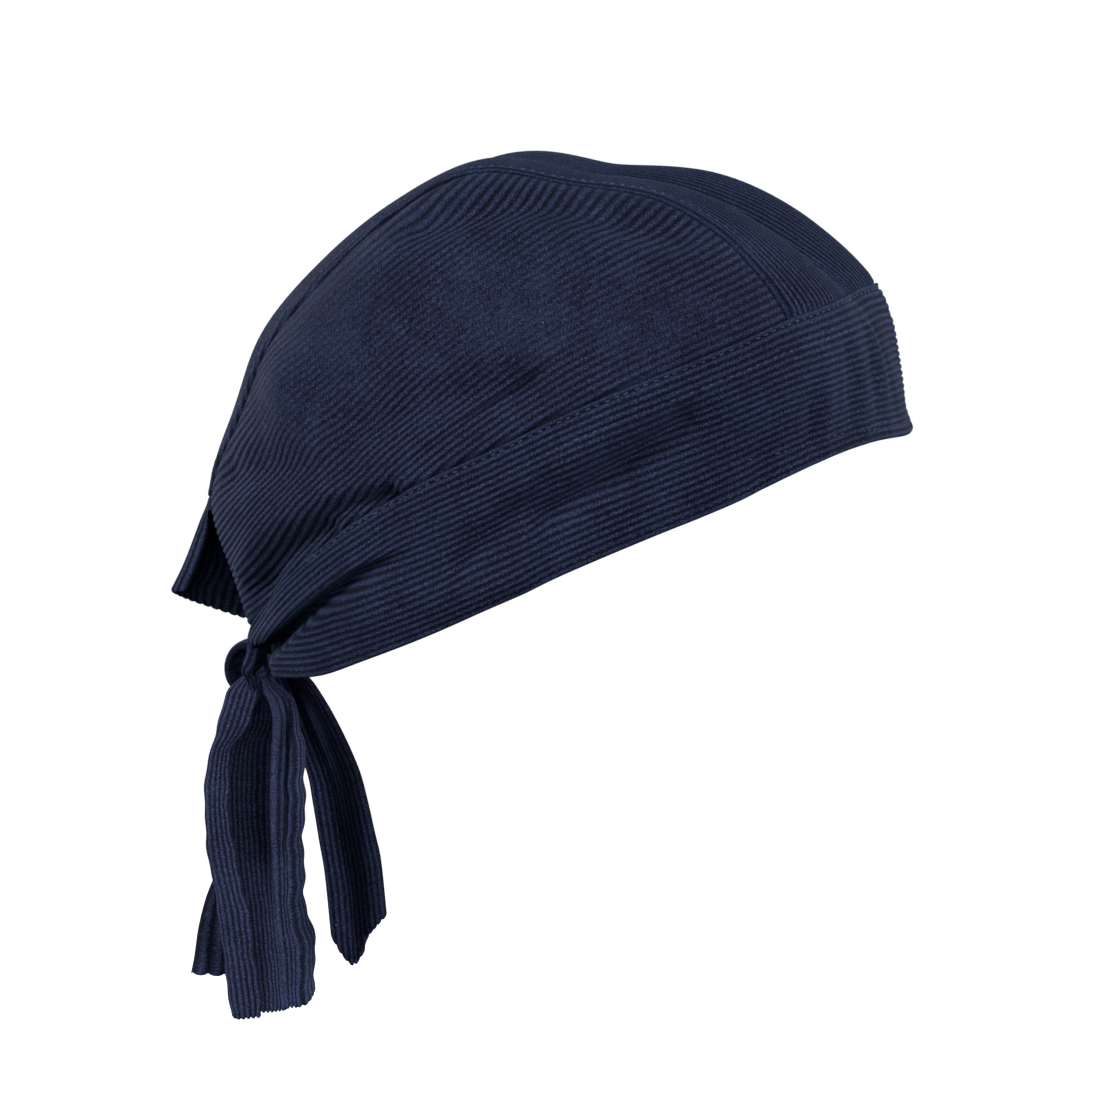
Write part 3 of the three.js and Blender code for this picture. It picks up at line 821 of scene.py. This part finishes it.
# Share of the drop, and the right and left edges in degrees round from the back.
TAIL = np.array([
    [0, -21, 21], [0.1, -16, 23.5], [0.2, -10, 25.5], [0.33, -6.2, 28], [0.66, -4.6, 31.5],
    [1, -4, 24.5],
])
# Degrees round from the back, and the height of the cut hem.
TAIL_HEM = np.array([
    [-4, -122.8], [0, -124.8], [4.5, -128.8], [9, -133.2], [12, -135], [15, -133.5],
    [19, -127.5], [24.5, -124.3],
])
# Height, and how far round from the back the side panels' rear edges lie there.
REAR_EDGE = np.array([[-130, 20], [-118, 19.2], [-106, 18.5], [-94, 17.8]])
# The flap starts a little way up under the strip's end, and flares out below it.
TAIL_EDGE = float(over_crown(STRIP_END, 0)[2])
TAIL_LAP = 3.2
TAIL_FLARE = 22.8
FLARE_DROP = 29


def tail_face(u, v):
    """The flap's outer face: u from its right edge to its left, v down to the hem."""
    hem = along(TAIL_HEM, 1, mix(TAIL_HEM[0, 0], TAIL_HEM[-1, 0], u))
    hem = hem - 0.5 * rib_rise(u * TAIL_RIBS)
    height = mix(TAIL_EDGE + TAIL_LAP, hem, v)
    drop = np.clip((TAIL_EDGE - height) / (TAIL_EDGE - hem), 0, 1)
    spread = mix(along(TAIL, 1, drop), along(TAIL, 2, drop), u)
    place = round_head(180 + spread, height)
    edge = along(REAR_EDGE, 1, height)
    reach = np.abs(spread) - edge
    tuck = 3.4 * np.where(spread < 0, smooth_step(reach, -4, -0.5), smooth_step(reach, -8, -3))
    share = np.clip((TAIL_EDGE - height) / FLARE_DROP, 0, 1)
    flare = TAIL_FLARE * share**1.05 * bell(spread, 10.5)
    flare = flare + 0.6 * smooth_step(TAIL_EDGE - height, -4, 0)
    under = 0.5 * (1 - smooth_step(TAIL_EDGE - height, -0.4, 1.5))
    from_right = u * TAIL_WIDTH
    curl = 2.6 * np.clip(1 - from_right / 4.5, 0, 1) ** 2 * smooth_step(drop, 0.1, 0.4)
    away = unit(place * [1, 1, 0])
    return cloth_at(place) + away * (flare - tuck - curl - under)[..., None]


def free_edges(place):
    """The distance to the nearest edge over a free sheet, and the distance down it."""
    across = run_along(place, 0)
    down = run_along(place, 1)
    sides = np.minimum(across, across[-1] - across)
    return np.minimum(sides, np.minimum(down, down[:, -1:] - down)), down


tail_lines = rib_lines(0, TAIL_RIBS)
tail_u, tail_v = np.meshgrid(tail_lines / TAIL_RIBS, even_columns(80, 42), indexing="ij")
place = tail_face(tail_u, tail_v)
edge_gap, down = free_edges(place)
normal = outward(tail_face, tail_u, tail_v)
normal *= np.sign(normal[..., 1:2] + 0.2)
rise = TAIL_RIB_HEIGHT * rib_rise(tail_lines)[:, None] * (0.85 + 0.2 * wobble(place, 15))
tail_flap = ribbed_sheet(
    "tail_flap_cloth", place - normal * CLOTH / 2, normal, CLOTH, edge_gap, rise, 0.7,
    tail_lines, down,
)
tail_flap.data.materials.append(darker_strip_finish)
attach(tail_flap, "root")
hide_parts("tail_flap")

# ======== Right tie ========
# The right end of the headband below the knot: a flat band of the cotton, folded lengthwise
# with a rolled lapel, hanging free to a cut end.
TIE_RIB = 1.6
TIE_RIB_HEIGHT = 0.36
# Drop, x, then y of the hind side, the lapel's edge, the ridge, the front side and the under
# layer's edge, then how far the roll, hollow, ridge, pocket, front and under layer stand out.
RIGHT_TIE = np.array([
    [-0.04, -11.6, 87.0, 83.2, 82.4, 80.6, 84, 0.8, -0.3, 0.6, -0.2, -0.5, -1.8],
    [0, -11.5, 91.0, 82.9, 81.0, 78.2, 88, 1.8, -1.2, 1.6, -2.0, -3.0, -4.6],
    [0.03, -11.5, 92.1, 83.3, 79.0, 75.5, 88.5, 2.4, -2.2, 2.4, -3.6, -4.2, -5.8],
    [0.08, -11.6, 93.5, 84.6, 77.8, 73.8, 90, 3.0, -3.0, 2.6, -4.0, -3.2, -6.4],
    [0.13, -11.6, 94.8, 86.6, 77.9, 73.0, 91, 3.6, -3.8, 2.6, -3.2, -1.0, -6.8],
    [0.175, -11.5, 96.2, 90.0, 78.2, 71.6, 92, 4.0, -4.2, 2.6, -1.8, 0.3, -6.8],
    [0.27, -11.4, 97.9, 91.0, 78.6, 71.5, 93, 4.0, -4.5, 2.6, -0.8, 0.6, -6.8],
    [0.35, -11.3, 98.3, 91.0, 78.8, 71.7, 93.8, 4.0, -4.6, 2.4, -0.6, 0.6, -6.8],
    [0.44, -11.1, 98.0, 90.2, 79.0, 72.1, 94, 3.8, -4.4, 1.8, -0.5, 0.6, -6.8],
    [0.5, -11, 97.6, 89.3, 78.9, 72.2, 95, 3.5, -3.6, 1.0, -0.5, 0.5, -7],
    [0.56, -10.8, 96.8, 88.2, 78.8, 72.3, 96.6, 3.2, -2.4, 0.4, -0.6, 0.5, -7.4],
    [0.66, -10.5, 95.1, 86.3, 78.6, 72.6, 99.2, 2.5, -1.3, 0.1, -0.5, 0.4, -8.6],
    [0.74, -10.3, 94.3, 85.5, 78.0, 71.8, 101.8, 2.0, -0.9, 0.1, -0.4, 0.3, -10],
    [0.84, -10, 93.7, 84.3, 77.0, 70.2, 104, 1.2, -0.4, 0.4, -0.1, 0.3, -11],
    [0.94, -9.9, 92.4, 83.6, 76.5, 70.3, 105.2, 0.9, -0.3, 0.2, -0.1, 0.2, -11.6],
    [1, -9.8, 91.8, 83.2, 76.0, 70.9, 106.2, 0.7, -0.2, 0.1, -0.1, 0.2, -12],
])
TIE_TOP = -150.4
# Share of the way across, and the height of the cut end.
RIGHT_HEM = np.array([
    [0, -244.4], [0.1, -245.2], [0.3, -243.2], [0.5, -241.6], [0.68, -240.6], [0.76, -238.6],
    [0.86, -237], [1, -234.2],
])


def right_section(u, v):
    """The folded section, from the lapel's edge round the roll, the outside and the inside."""
    x, hind, lapel, ridge, fore, under_edge, roll, hollow, crest, pocket, lift, under = [
        along(RIGHT_TIE, column, v) for column in range(1, 13)
    ]
    curl = under + 0.45 * np.maximum(under_edge - hind, 0)
    sway = 0.35 * np.sin(29 * v) + 0.25 * np.sin(67 * v + 1)
    hind = hind + 0.6 * sway
    lapel = lapel - 0.8 * sway
    fore = fore + sway * smooth_step(v, 0.1, 0.3)
    stations = np.stack([np.stack([x - out, y], -1) for y, out in (
        (lapel, roll), (mix(lapel, hind, 0.8), roll), (hind, 0.4 * roll - 0.6),
        (hind - 2.2, hollow), (mix(lapel, ridge, 0.45), hollow), (ridge + 0.9, hollow * 0.8),
        (ridge, crest), (mix(ridge, fore, 0.42), pocket), (mix(ridge, fore, 0.8), lift),
        (fore, mix(lift, under, 0.5)), (fore + 2, under), (mix(fore, hind, 0.5), under),
        (under_edge, curl),
    )])
    first = 2 * stations[:1] - stations[1:2]
    last = 2 * stations[-1:] - stations[-2:-1]
    stations = np.concatenate([first, stations, last])
    part = np.clip(u * 12, 0, 11.99999)
    i = part.astype(int)
    t = (part - i)[..., None]
    a, b, c, d = [np.take_along_axis(stations, (i + k)[None, ..., None], 0)[0] for k in range(4)]
    gap = [
        np.linalg.norm(after - before, axis=-1, keepdims=True) ** 0.5
        for before, after in ((a, b), (b, c), (c, d))
    ]
    leave = ((b - a) / gap[0] - (c - a) / (gap[0] + gap[1]) + (c - b) / gap[1]) * gap[1]
    arrive = ((c - b) / gap[1] - (d - b) / (gap[1] + gap[2]) + (d - c) / gap[2]) * gap[1]
    return (b * (2 * t**3 - 3 * t**2 + 1) + leave * (t**3 - 2 * t**2 + t)
            + c * (3 * t**2 - 2 * t**3) + arrive * (t**3 - t**2))


# Ribs are counted round the section half way down.
u_fine = np.linspace(0, 1, 600)
tie_run = run_along(right_section(u_fine, np.full(len(u_fine), 0.5)), 0)


def right_tie_face(u, v):
    """The tie's middle face: u round the folded section, v down to the hem."""
    hem = along(RIGHT_HEM, 1, u) - 0.8 * rib_rise(np.interp(u, u_fine, tie_run) / TIE_RIB)
    drop = mix(RIGHT_TIE[0, 0], 1, v)
    section = right_section(u, drop)
    return np.concatenate([section, mix(TIE_TOP, hem, drop)[..., None]], -1)


def tie(name, face, lines, across, columns):
    """A hanging tie from its face, with its ribs at these shares of the way across."""
    u, v = np.meshgrid(across, columns, indexing="ij")
    place = face(u, v)
    edge_gap, down = free_edges(place)
    rise = TIE_RIB_HEIGHT * rib_rise(lines)[:, None] * (0.85 + 0.25 * wobble(place, 13))
    return ribbed_sheet(
        name, place, outward(face, u, v), CLOTH, edge_gap, rise, 0.5, lines, down)


right_lines = rib_lines(0, tie_run[-1] / TIE_RIB)
tie_right = tie(
    "tie_right_cloth", right_tie_face, right_lines,
    np.interp(right_lines * TIE_RIB, tie_run, u_fine), even_columns(120, 92),
)
# The right tie and the loop take a copy of the same cotton painted lighter than the headband's,
# as painted light.
lighter_tie_finish = ribbed_cotton("tie_cotton_painted_lighter", (0.0075, 0.0095, 0.0215), (0.0360, 0.0470, 0.1080))
tie_right.data.materials.append(lighter_tie_finish)
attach(tie_right, "root")
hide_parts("tie_right")

# ======== Left tie ========
# The left end of the headband below the knot, a narrower band of the cotton that swings
# forward under the nape and hangs free to a pointed cut end.
LEFT_RIBS = 11
# Drop, x, y, width and the depth of the fold down the middle.
LEFT_TIE = np.array([
    [-0.12, 3, 82.5, 5, 1], [-0.06, 4, 79.8, 10.4, 2], [0, 6, 77.1, 13.4, 4],
    [0.165, 8, 72.1, 16.4, 5], [0.357, 8, 66.2, 16.6, 5], [0.487, 7.8, 64, 17.2, 5],
    [0.634, 7.6, 62, 17.6, 4.6], [0.752, 7.5, 60.4, 17.8, 4.2], [1, 7.5, 58.8, 17.4, 3.0],
])
# Share of the way across, and the height of the cut end.
LEFT_HEM = np.array([
    [0, -223.5], [0.15, -228.5], [0.35, -232.4], [0.53, -228], [0.58, -224.5], [0.8, -220],
    [1, -216.3],
])


def left_tie_face(u, v):
    """The tie's middle face: u from its rear edge forward, v down to the hem."""
    drop = mix(LEFT_TIE[0, 0], 1, v)
    x, y, width, fold = [along(LEFT_TIE, column, drop) for column in range(1, 5)]
    away = fold * (1.3 * bell(u - 0.42, 0.25) - 0.9 * u - 0.2)
    hem = along(LEFT_HEM, 1, u) - 0.8 * rib_rise(u * LEFT_RIBS)
    return np.stack([x + away, y + mix(width / 2, -width / 2, u), mix(TIE_TOP, hem, drop)], -1)


left_lines = rib_lines(0, LEFT_RIBS)
tie_left = tie(
    "tie_left_cloth", left_tie_face, left_lines, left_lines / LEFT_RIBS, even_columns(110, 80))
tie_left.data.materials.append(band_finish)
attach(tie_left, "root")
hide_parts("tie_left")

# ======== Knot ========
# The gathered ends of the headband, pulled through a loop of the same cotton. The loop is a
# folded strap drawn tight round them.
KNOT = np.array([0, 88.6, -145.3])
# Half depth and half height of the gathers inside the loop.
GATHERS_DEPTH = 4.6
GATHERS_HEIGHT = 5.8
band_stop = round_head(BAND_END, (band_seam(BAND_END) + band_rim(BAND_END)) / 2)


def gathers(reach, turn):
    """Rings from the band's right end at -1, through the knot, to its left end at 1."""
    full = np.where(
        reach > 0, 1 - smooth_step(reach, 0.45, 0.98), 1 - smooth_step(-reach, 0.1, 0.7))
    middle_y = mix(band_stop[1] - BAND_CLOTH / 2, KNOT[1], full)
    middle_z = mix(band_stop[2], KNOT[2], full)
    deep = mix(1.2, GATHERS_DEPTH, full)
    tall = mix((band_seam(BAND_END) - band_rim(BAND_END)) / 2, GATHERS_HEIGHT, full)
    pleat = 1 + 0.10 * np.sin(7 * turn + 2.2 * reach) + 0.05 * np.sin(13 * turn - 3 * reach)
    x = reach * (abs(band_stop[0]) - 0.4)
    return np.stack([
        x + 0 * turn,
        middle_y + deep * pleat * np.cos(turn),
        middle_z + tall * pleat * np.sin(turn),
    ], -1)


def tube(name, places, uv):
    """A closed tube from rings of places, with its two ends capped."""
    rings, sides = places.shape[:2]
    number = np.arange(rings * sides).reshape(rings, sides)
    nearby = np.roll(number, -1, axis=1)
    faces = np.stack([number[:-1], nearby[:-1], nearby[1:], number[1:]], -1).reshape(-1, 4)
    ends = places[[0, -1]].mean(axis=1)
    points = np.concatenate([places.reshape(-1, 3), ends])
    cap_a = np.stack([number[0], nearby[0], nearby[0] * 0 + rings * sides], -1)
    cap_b = np.stack([nearby[-1], number[-1], number[-1] * 0 + rings * sides + 1], -1)
    uv = np.concatenate([uv.reshape(-1, 2), uv[[0, -1], 0]])
    return ribbed_piece(
        name, points, [*faces.tolist(), *cap_a.tolist(), *cap_b.tolist()], uv)


turns = np.linspace(0, math.tau, 97)[:-1]
reach, turn = np.meshgrid(np.linspace(-1, 1, 60), turns, indexing="ij")
knot_gathers = tube("knot_gathers", gathers(reach, turn), np.stack([turn * 2.2, reach * 12], -1))
knot_gathers.data.materials.append(band_finish)
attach(knot_gathers, "root")
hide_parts("knot_core")

# The gathered upper half of the band runs down over the loop into the right tie: distance
# along, x, y, z, half width and half depth.
NECK = np.array([
    [0, -25, 78.2, -131.5, 1.6, 1.0], [1, -22.2, 80.4, -136.4, 2.5, 2.4],
    [2, -18.6, 82.2, -140.6, 2.5, 3.0], [3, -15.8, 84.3, -143.6, 2.4, 3.0],
    [4, -14.2, 84.3, -146.4, 1.8, 2.6], [5, -12.8, 84.2, -149.5, 2.0, 1.9],
    [6, -12, 84.3, -152.5, 2.2, 1.2],
])


def neck(way, turn):
    """Rings of the strand along its way, pleated round about."""
    x, y, z, wide, deep = [along(NECK, column, way) for column in range(1, 6)]
    ahead = np.stack([along(NECK, column, way + 0.05) for column in (1, 2, 3)], -1)
    before = np.stack([along(NECK, column, way - 0.05) for column in (1, 2, 3)], -1)
    heading = unit(ahead - before)
    across = unit(np.cross(heading, [-1, 0, 0]))
    facing = np.cross(across, heading)
    pleat = 1 + 0.09 * np.sin(7 * turn + 0.5 * way) + 0.05 * np.sin(11 * turn - way)
    return (np.stack([x, y, z], -1) + across * (wide * pleat * np.cos(turn))[..., None]
            + facing * (deep * pleat * np.sin(turn))[..., None])


way, turn = np.meshgrid(np.linspace(0, 6, 70), turns, indexing="ij")
knot_neck = tube("knot_neck", neck(way, turn), np.stack([turn * 1.6, way * 4], -1))
knot_neck.data.materials.append(band_finish)
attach(knot_neck, "root")

# The loop is a strap with a flat section and round edges, bent into an upright ring.
LOOP_DEPTH = 5.3
LOOP_HEIGHT = 6.6
LOOP_RIBS = 7
ring_turns = np.linspace(0, math.tau, 121)[:-1]
section_turns = np.linspace(0, math.tau, 65)[:-1]
ring_turn, section_turn = np.meshgrid(ring_turns, section_turns, indexing="ij")
flat_x = np.sign(np.cos(section_turn)) * np.abs(np.cos(section_turn)) ** 0.5
thick = np.sign(np.sin(section_turn)) * np.abs(np.sin(section_turn)) ** 0.6
half_strap = mix(5.4, 6.3, (1 + np.cos(ring_turn - 0.6)) / 2)
loop_ribs = flat_x * LOOP_RIBS / 2 + 0.5
rise = 0.26 * rib_rise(loop_ribs) * np.clip(thick * 2, 0, 1)
away = 1.15 * thick + rise + 0.35 * np.sin(2 * ring_turn + 0.8) * (1 - flat_x**2)
places = np.stack([
    flat_x * half_strap + 0.5 * np.sin(ring_turn * 2),
    KNOT[1] + (LOOP_DEPTH + away) * np.cos(ring_turn),
    KNOT[2] + (LOOP_HEIGHT + away) * np.sin(ring_turn),
], -1).reshape(-1, 3)
number = np.arange(len(places)).reshape(flat_x.shape)
beyond = np.roll(number, -1, axis=0)
faces = np.stack([
    number, np.roll(number, -1, axis=1), np.roll(beyond, -1, axis=1), beyond], -1).reshape(-1, 4)
loop_uv = np.stack([loop_ribs, ring_turn * 7.0], -1).reshape(-1, 2)
knot_wrap = ribbed_piece("knot_wrap_cloth", places, turned_out(places, faces), loop_uv)
knot_wrap.data.materials.append(lighter_tie_finish)
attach(knot_wrap, "root")
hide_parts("knot_wrap")

# ======== Stitching ========
# Rows of slack navy thread, a little lighter than the cloth: two along the headband's upper
# seam, one along its rim, one round a patch inside the forehead, and one on each crown seam.
STITCH_PITCH = 2.8
STITCH_RADIUS = 0.17
# Share of the stitch's length, height over the cloth and thickness, at five places along it.
STITCH = np.array([
    [0, -0.30, 0.5], [0.2, 0.0, 0.95], [0.5, 0.10, 1.0], [0.8, 0.0, 0.95], [1, -0.30, 0.5],
])
STITCH_LENGTH = 1.6
STITCH_SIDES = 6
# Degrees round the head where the two topstitched rows and the rim's row end.
TOPSTITCH_ENDS = (134, 98)
RIM_STITCH_END = 150
CROWN_STITCH_INSET = 4.6
# The patch inside the forehead: degrees to each side, height of its row of stitches in the
# middle, and how much lower the row is at its ends.
PATCH_HALF = 44
PATCH_HEIGHT = -71.5
PATCH_DROOP = 5.5


def stitches(name, lines):
    """One mesh of short stitches along lines of places, each line with its normals."""
    points = []
    for places, normals in lines:
        run = run_along(places, 0)
        count = int(run[-1] / STITCH_PITCH)
        start = (np.arange(count) + 0.2 + 0.08 * np.sin(np.arange(count) * 2.4)) * STITCH_PITCH
        at = start[:, None] + STITCH[:, 0] * STITCH_LENGTH
        spot = places_at(at, run, places)
        up = unit(places_at(at, run, normals))
        across = np.cross(unit(spot[:, -1:] - spot[:, :1]), up)
        lean = 0.12 * np.sin(np.arange(count) * 5.1)[:, None, None] * (STITCH[:, :1] - 0.5)
        spot = spot + up * STITCH[:, 1:2] + across * lean
        round_angles = np.arange(STITCH_SIDES) * math.tau / STITCH_SIDES
        thick = STITCH_RADIUS * STITCH[:, 2][:, None, None]
        points.append(
            spot[:, :, None] + up[:, :, None] * thick * np.sin(round_angles)[:, None]
            + across[:, :, None] * thick * np.cos(round_angles)[:, None])
    points = np.concatenate(points)
    number = np.arange(points.size // 3).reshape(points.shape[:3])
    beside = np.roll(number, -1, axis=2)
    sides = np.stack([number[:, :-1], number[:, 1:], beside[:, 1:], beside[:, :-1]], -1)
    faces = sides.reshape(-1, 4).tolist()
    faces = faces + number[:, 0].tolist() + number[:, -1, ::-1].tolist()
    return new_piece(name, points.reshape(-1, 3), faces)


def band_line(angles, drop_at):
    """Places and normals on the headband at a distance below its upper seam."""

    def above_line(v):
        return band_drop(angles, v * BAND_RIBS) < drop_at

    u = (angles + BAND_END) / (2 * BAND_END)
    v = find_limit(np.zeros(len(angles)), np.ones(len(angles)), above_line)
    place = band_face(u, v)
    normal = from_head(place, outward(band_face, u, v))
    return place + 0.12 * normal, normal


rim_angles = np.linspace(-RIM_STITCH_END, RIM_STITCH_END, 900)
rim_drop = band_seam(rim_angles) - band_rim(rim_angles) - HEM_STITCH_RISE
band_rows = [
    band_line(np.linspace(-end, end, 900), row)
    for row, end in zip(TOPSTITCH_DROPS, TOPSTITCH_ENDS)
]
band_rows.append(band_line(rim_angles, rim_drop))
# The patch inside the forehead is sewn through the band.
patch_angles = np.linspace(-PATCH_HALF, PATCH_HALF, 260)
patch_lower = PATCH_DROOP * smooth_step(np.abs(patch_angles), PATCH_HALF / 2, PATCH_HALF)
patch_heights = PATCH_HEIGHT - patch_lower
band_rows.append(band_line(patch_angles, band_seam(patch_angles) - patch_heights))
band_stitches = stitches("band_stitches", band_rows)

crown_rows = []
for side in (-1, 1):
    line_angle = np.linspace(front_angle + 2, STRIP_END - 4, 600)
    line_x = side * (strip_half(line_angle) - CROWN_STITCH_INSET)
    place = strip_outer(line_angle, line_x)
    normal = unit(place - HEAD_CENTRE)
    crown_rows.append((place + 0.3 * normal, normal))
crown_stitches = stitches("crown_stitches", crown_rows)

thread = bpy.data.materials.new("navy_thread")
thread.use_nodes = True
thread_tone = Tone(thread.node_tree)
thread_spot = thread_tone.node("ShaderNodeTexCoord", output="Object")
thread_grain = thread_tone.node(
    "ShaderNodeTexNoise", {"normalize": True}, {"Vector": thread_spot, "Scale": 900.0})
thread_colour = thread_tone.node(
    "ShaderNodeMix", {"data_type": "RGBA"},
    {"Factor": thread_grain, "A": (0.010, 0.012, 0.028, 1), "B": (0.105, 0.112, 0.20, 1)},
    output="Result")
thread_bump = thread_tone.node(
    "ShaderNodeBump", {}, {"Height": thread_grain, "Strength": 0.5, "Distance": 0.0002})
thread_finish = thread.node_tree.nodes["Principled BSDF"]
thread_finish.inputs["Roughness"].default_value = 0.8
thread_finish.inputs["Specular IOR Level"].default_value = 0.15
thread.node_tree.links.new(thread_colour.socket, thread_finish.inputs["Base Color"])
thread.node_tree.links.new(thread_bump.socket, thread_finish.inputs["Normal"])
for piece in (band_stitches, crown_stitches):
    piece.data.materials.append(thread)
    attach(piece, "root")

# ======== Stage ========
floor_size = 8
bpy.ops.mesh.primitive_plane_add(size=floor_size, location=(0, 0, -0.75))
floor = bpy.context.object
floor.name = "floor"
bpy.ops.object.transform_apply(location=True, rotation=False, scale=False)
floor_finish = bpy.data.materials.new("pale_floor")
floor_finish.use_nodes = True
floor_look = floor_finish.node_tree.nodes["Principled BSDF"].inputs
floor_look["Base Color"].default_value = (0.9, 0.9, 0.9, 1)
floor_look["Roughness"].default_value = 1
floor_look["Emission Color"].default_value = (1, 1, 1, 1)
floor_look["Emission Strength"].default_value = 1
floor.data.materials.append(floor_finish)
floor.visible_diffuse = False
floor.visible_glossy = False

# Place, size and strength of each light, all aimed at the middle of the cap.
LIGHTS = {
    "rear_light": ((-1.1, 1.75, 0.4), 1.0, 48),
    "front_light": ((-1.1, -1.45, 0.5), 1.0, 32),
    "fill_light": ((-1.9, -0.2, 0.4), 1.2, 9),
    "top_light": ((-0.2, 0.2, 1.9), 1.2, 0.4),
    "far_rear_light": ((1.3, 1.6, 0.4), 1.0, 34),
    "far_front_light": ((1.1, -1.6, 0.45), 1.0, 33),
    "far_fill_light": ((1.9, -0.2, 0.4), 1.2, 9),
}
light_aim = Vector((0, 0, -0.08))
for name, (place, size, energy) in LIGHTS.items():
    lamp = bpy.data.lights.new(name, "AREA")
    lamp.shape = "DISK"
    lamp.size = size
    lamp.energy = energy
    light = bpy.data.objects.new(name, lamp)
    light.location = place
    light.rotation_euler = (light_aim - light.location).to_track_quat("-Z", "Y").to_euler()
    light.visible_camera = False
    scene.collection.objects.link(light)

world = bpy.data.worlds.new("studio")
scene.world = world
world.use_nodes = True
backdrop = world.node_tree.nodes["Background"].inputs
backdrop["Color"].default_value = (1, 1, 1, 1)
backdrop["Strength"].default_value = 1
world.cycles_visibility.diffuse = False
world.cycles_visibility.glossy = False
scene.view_settings.view_transform = "Standard"
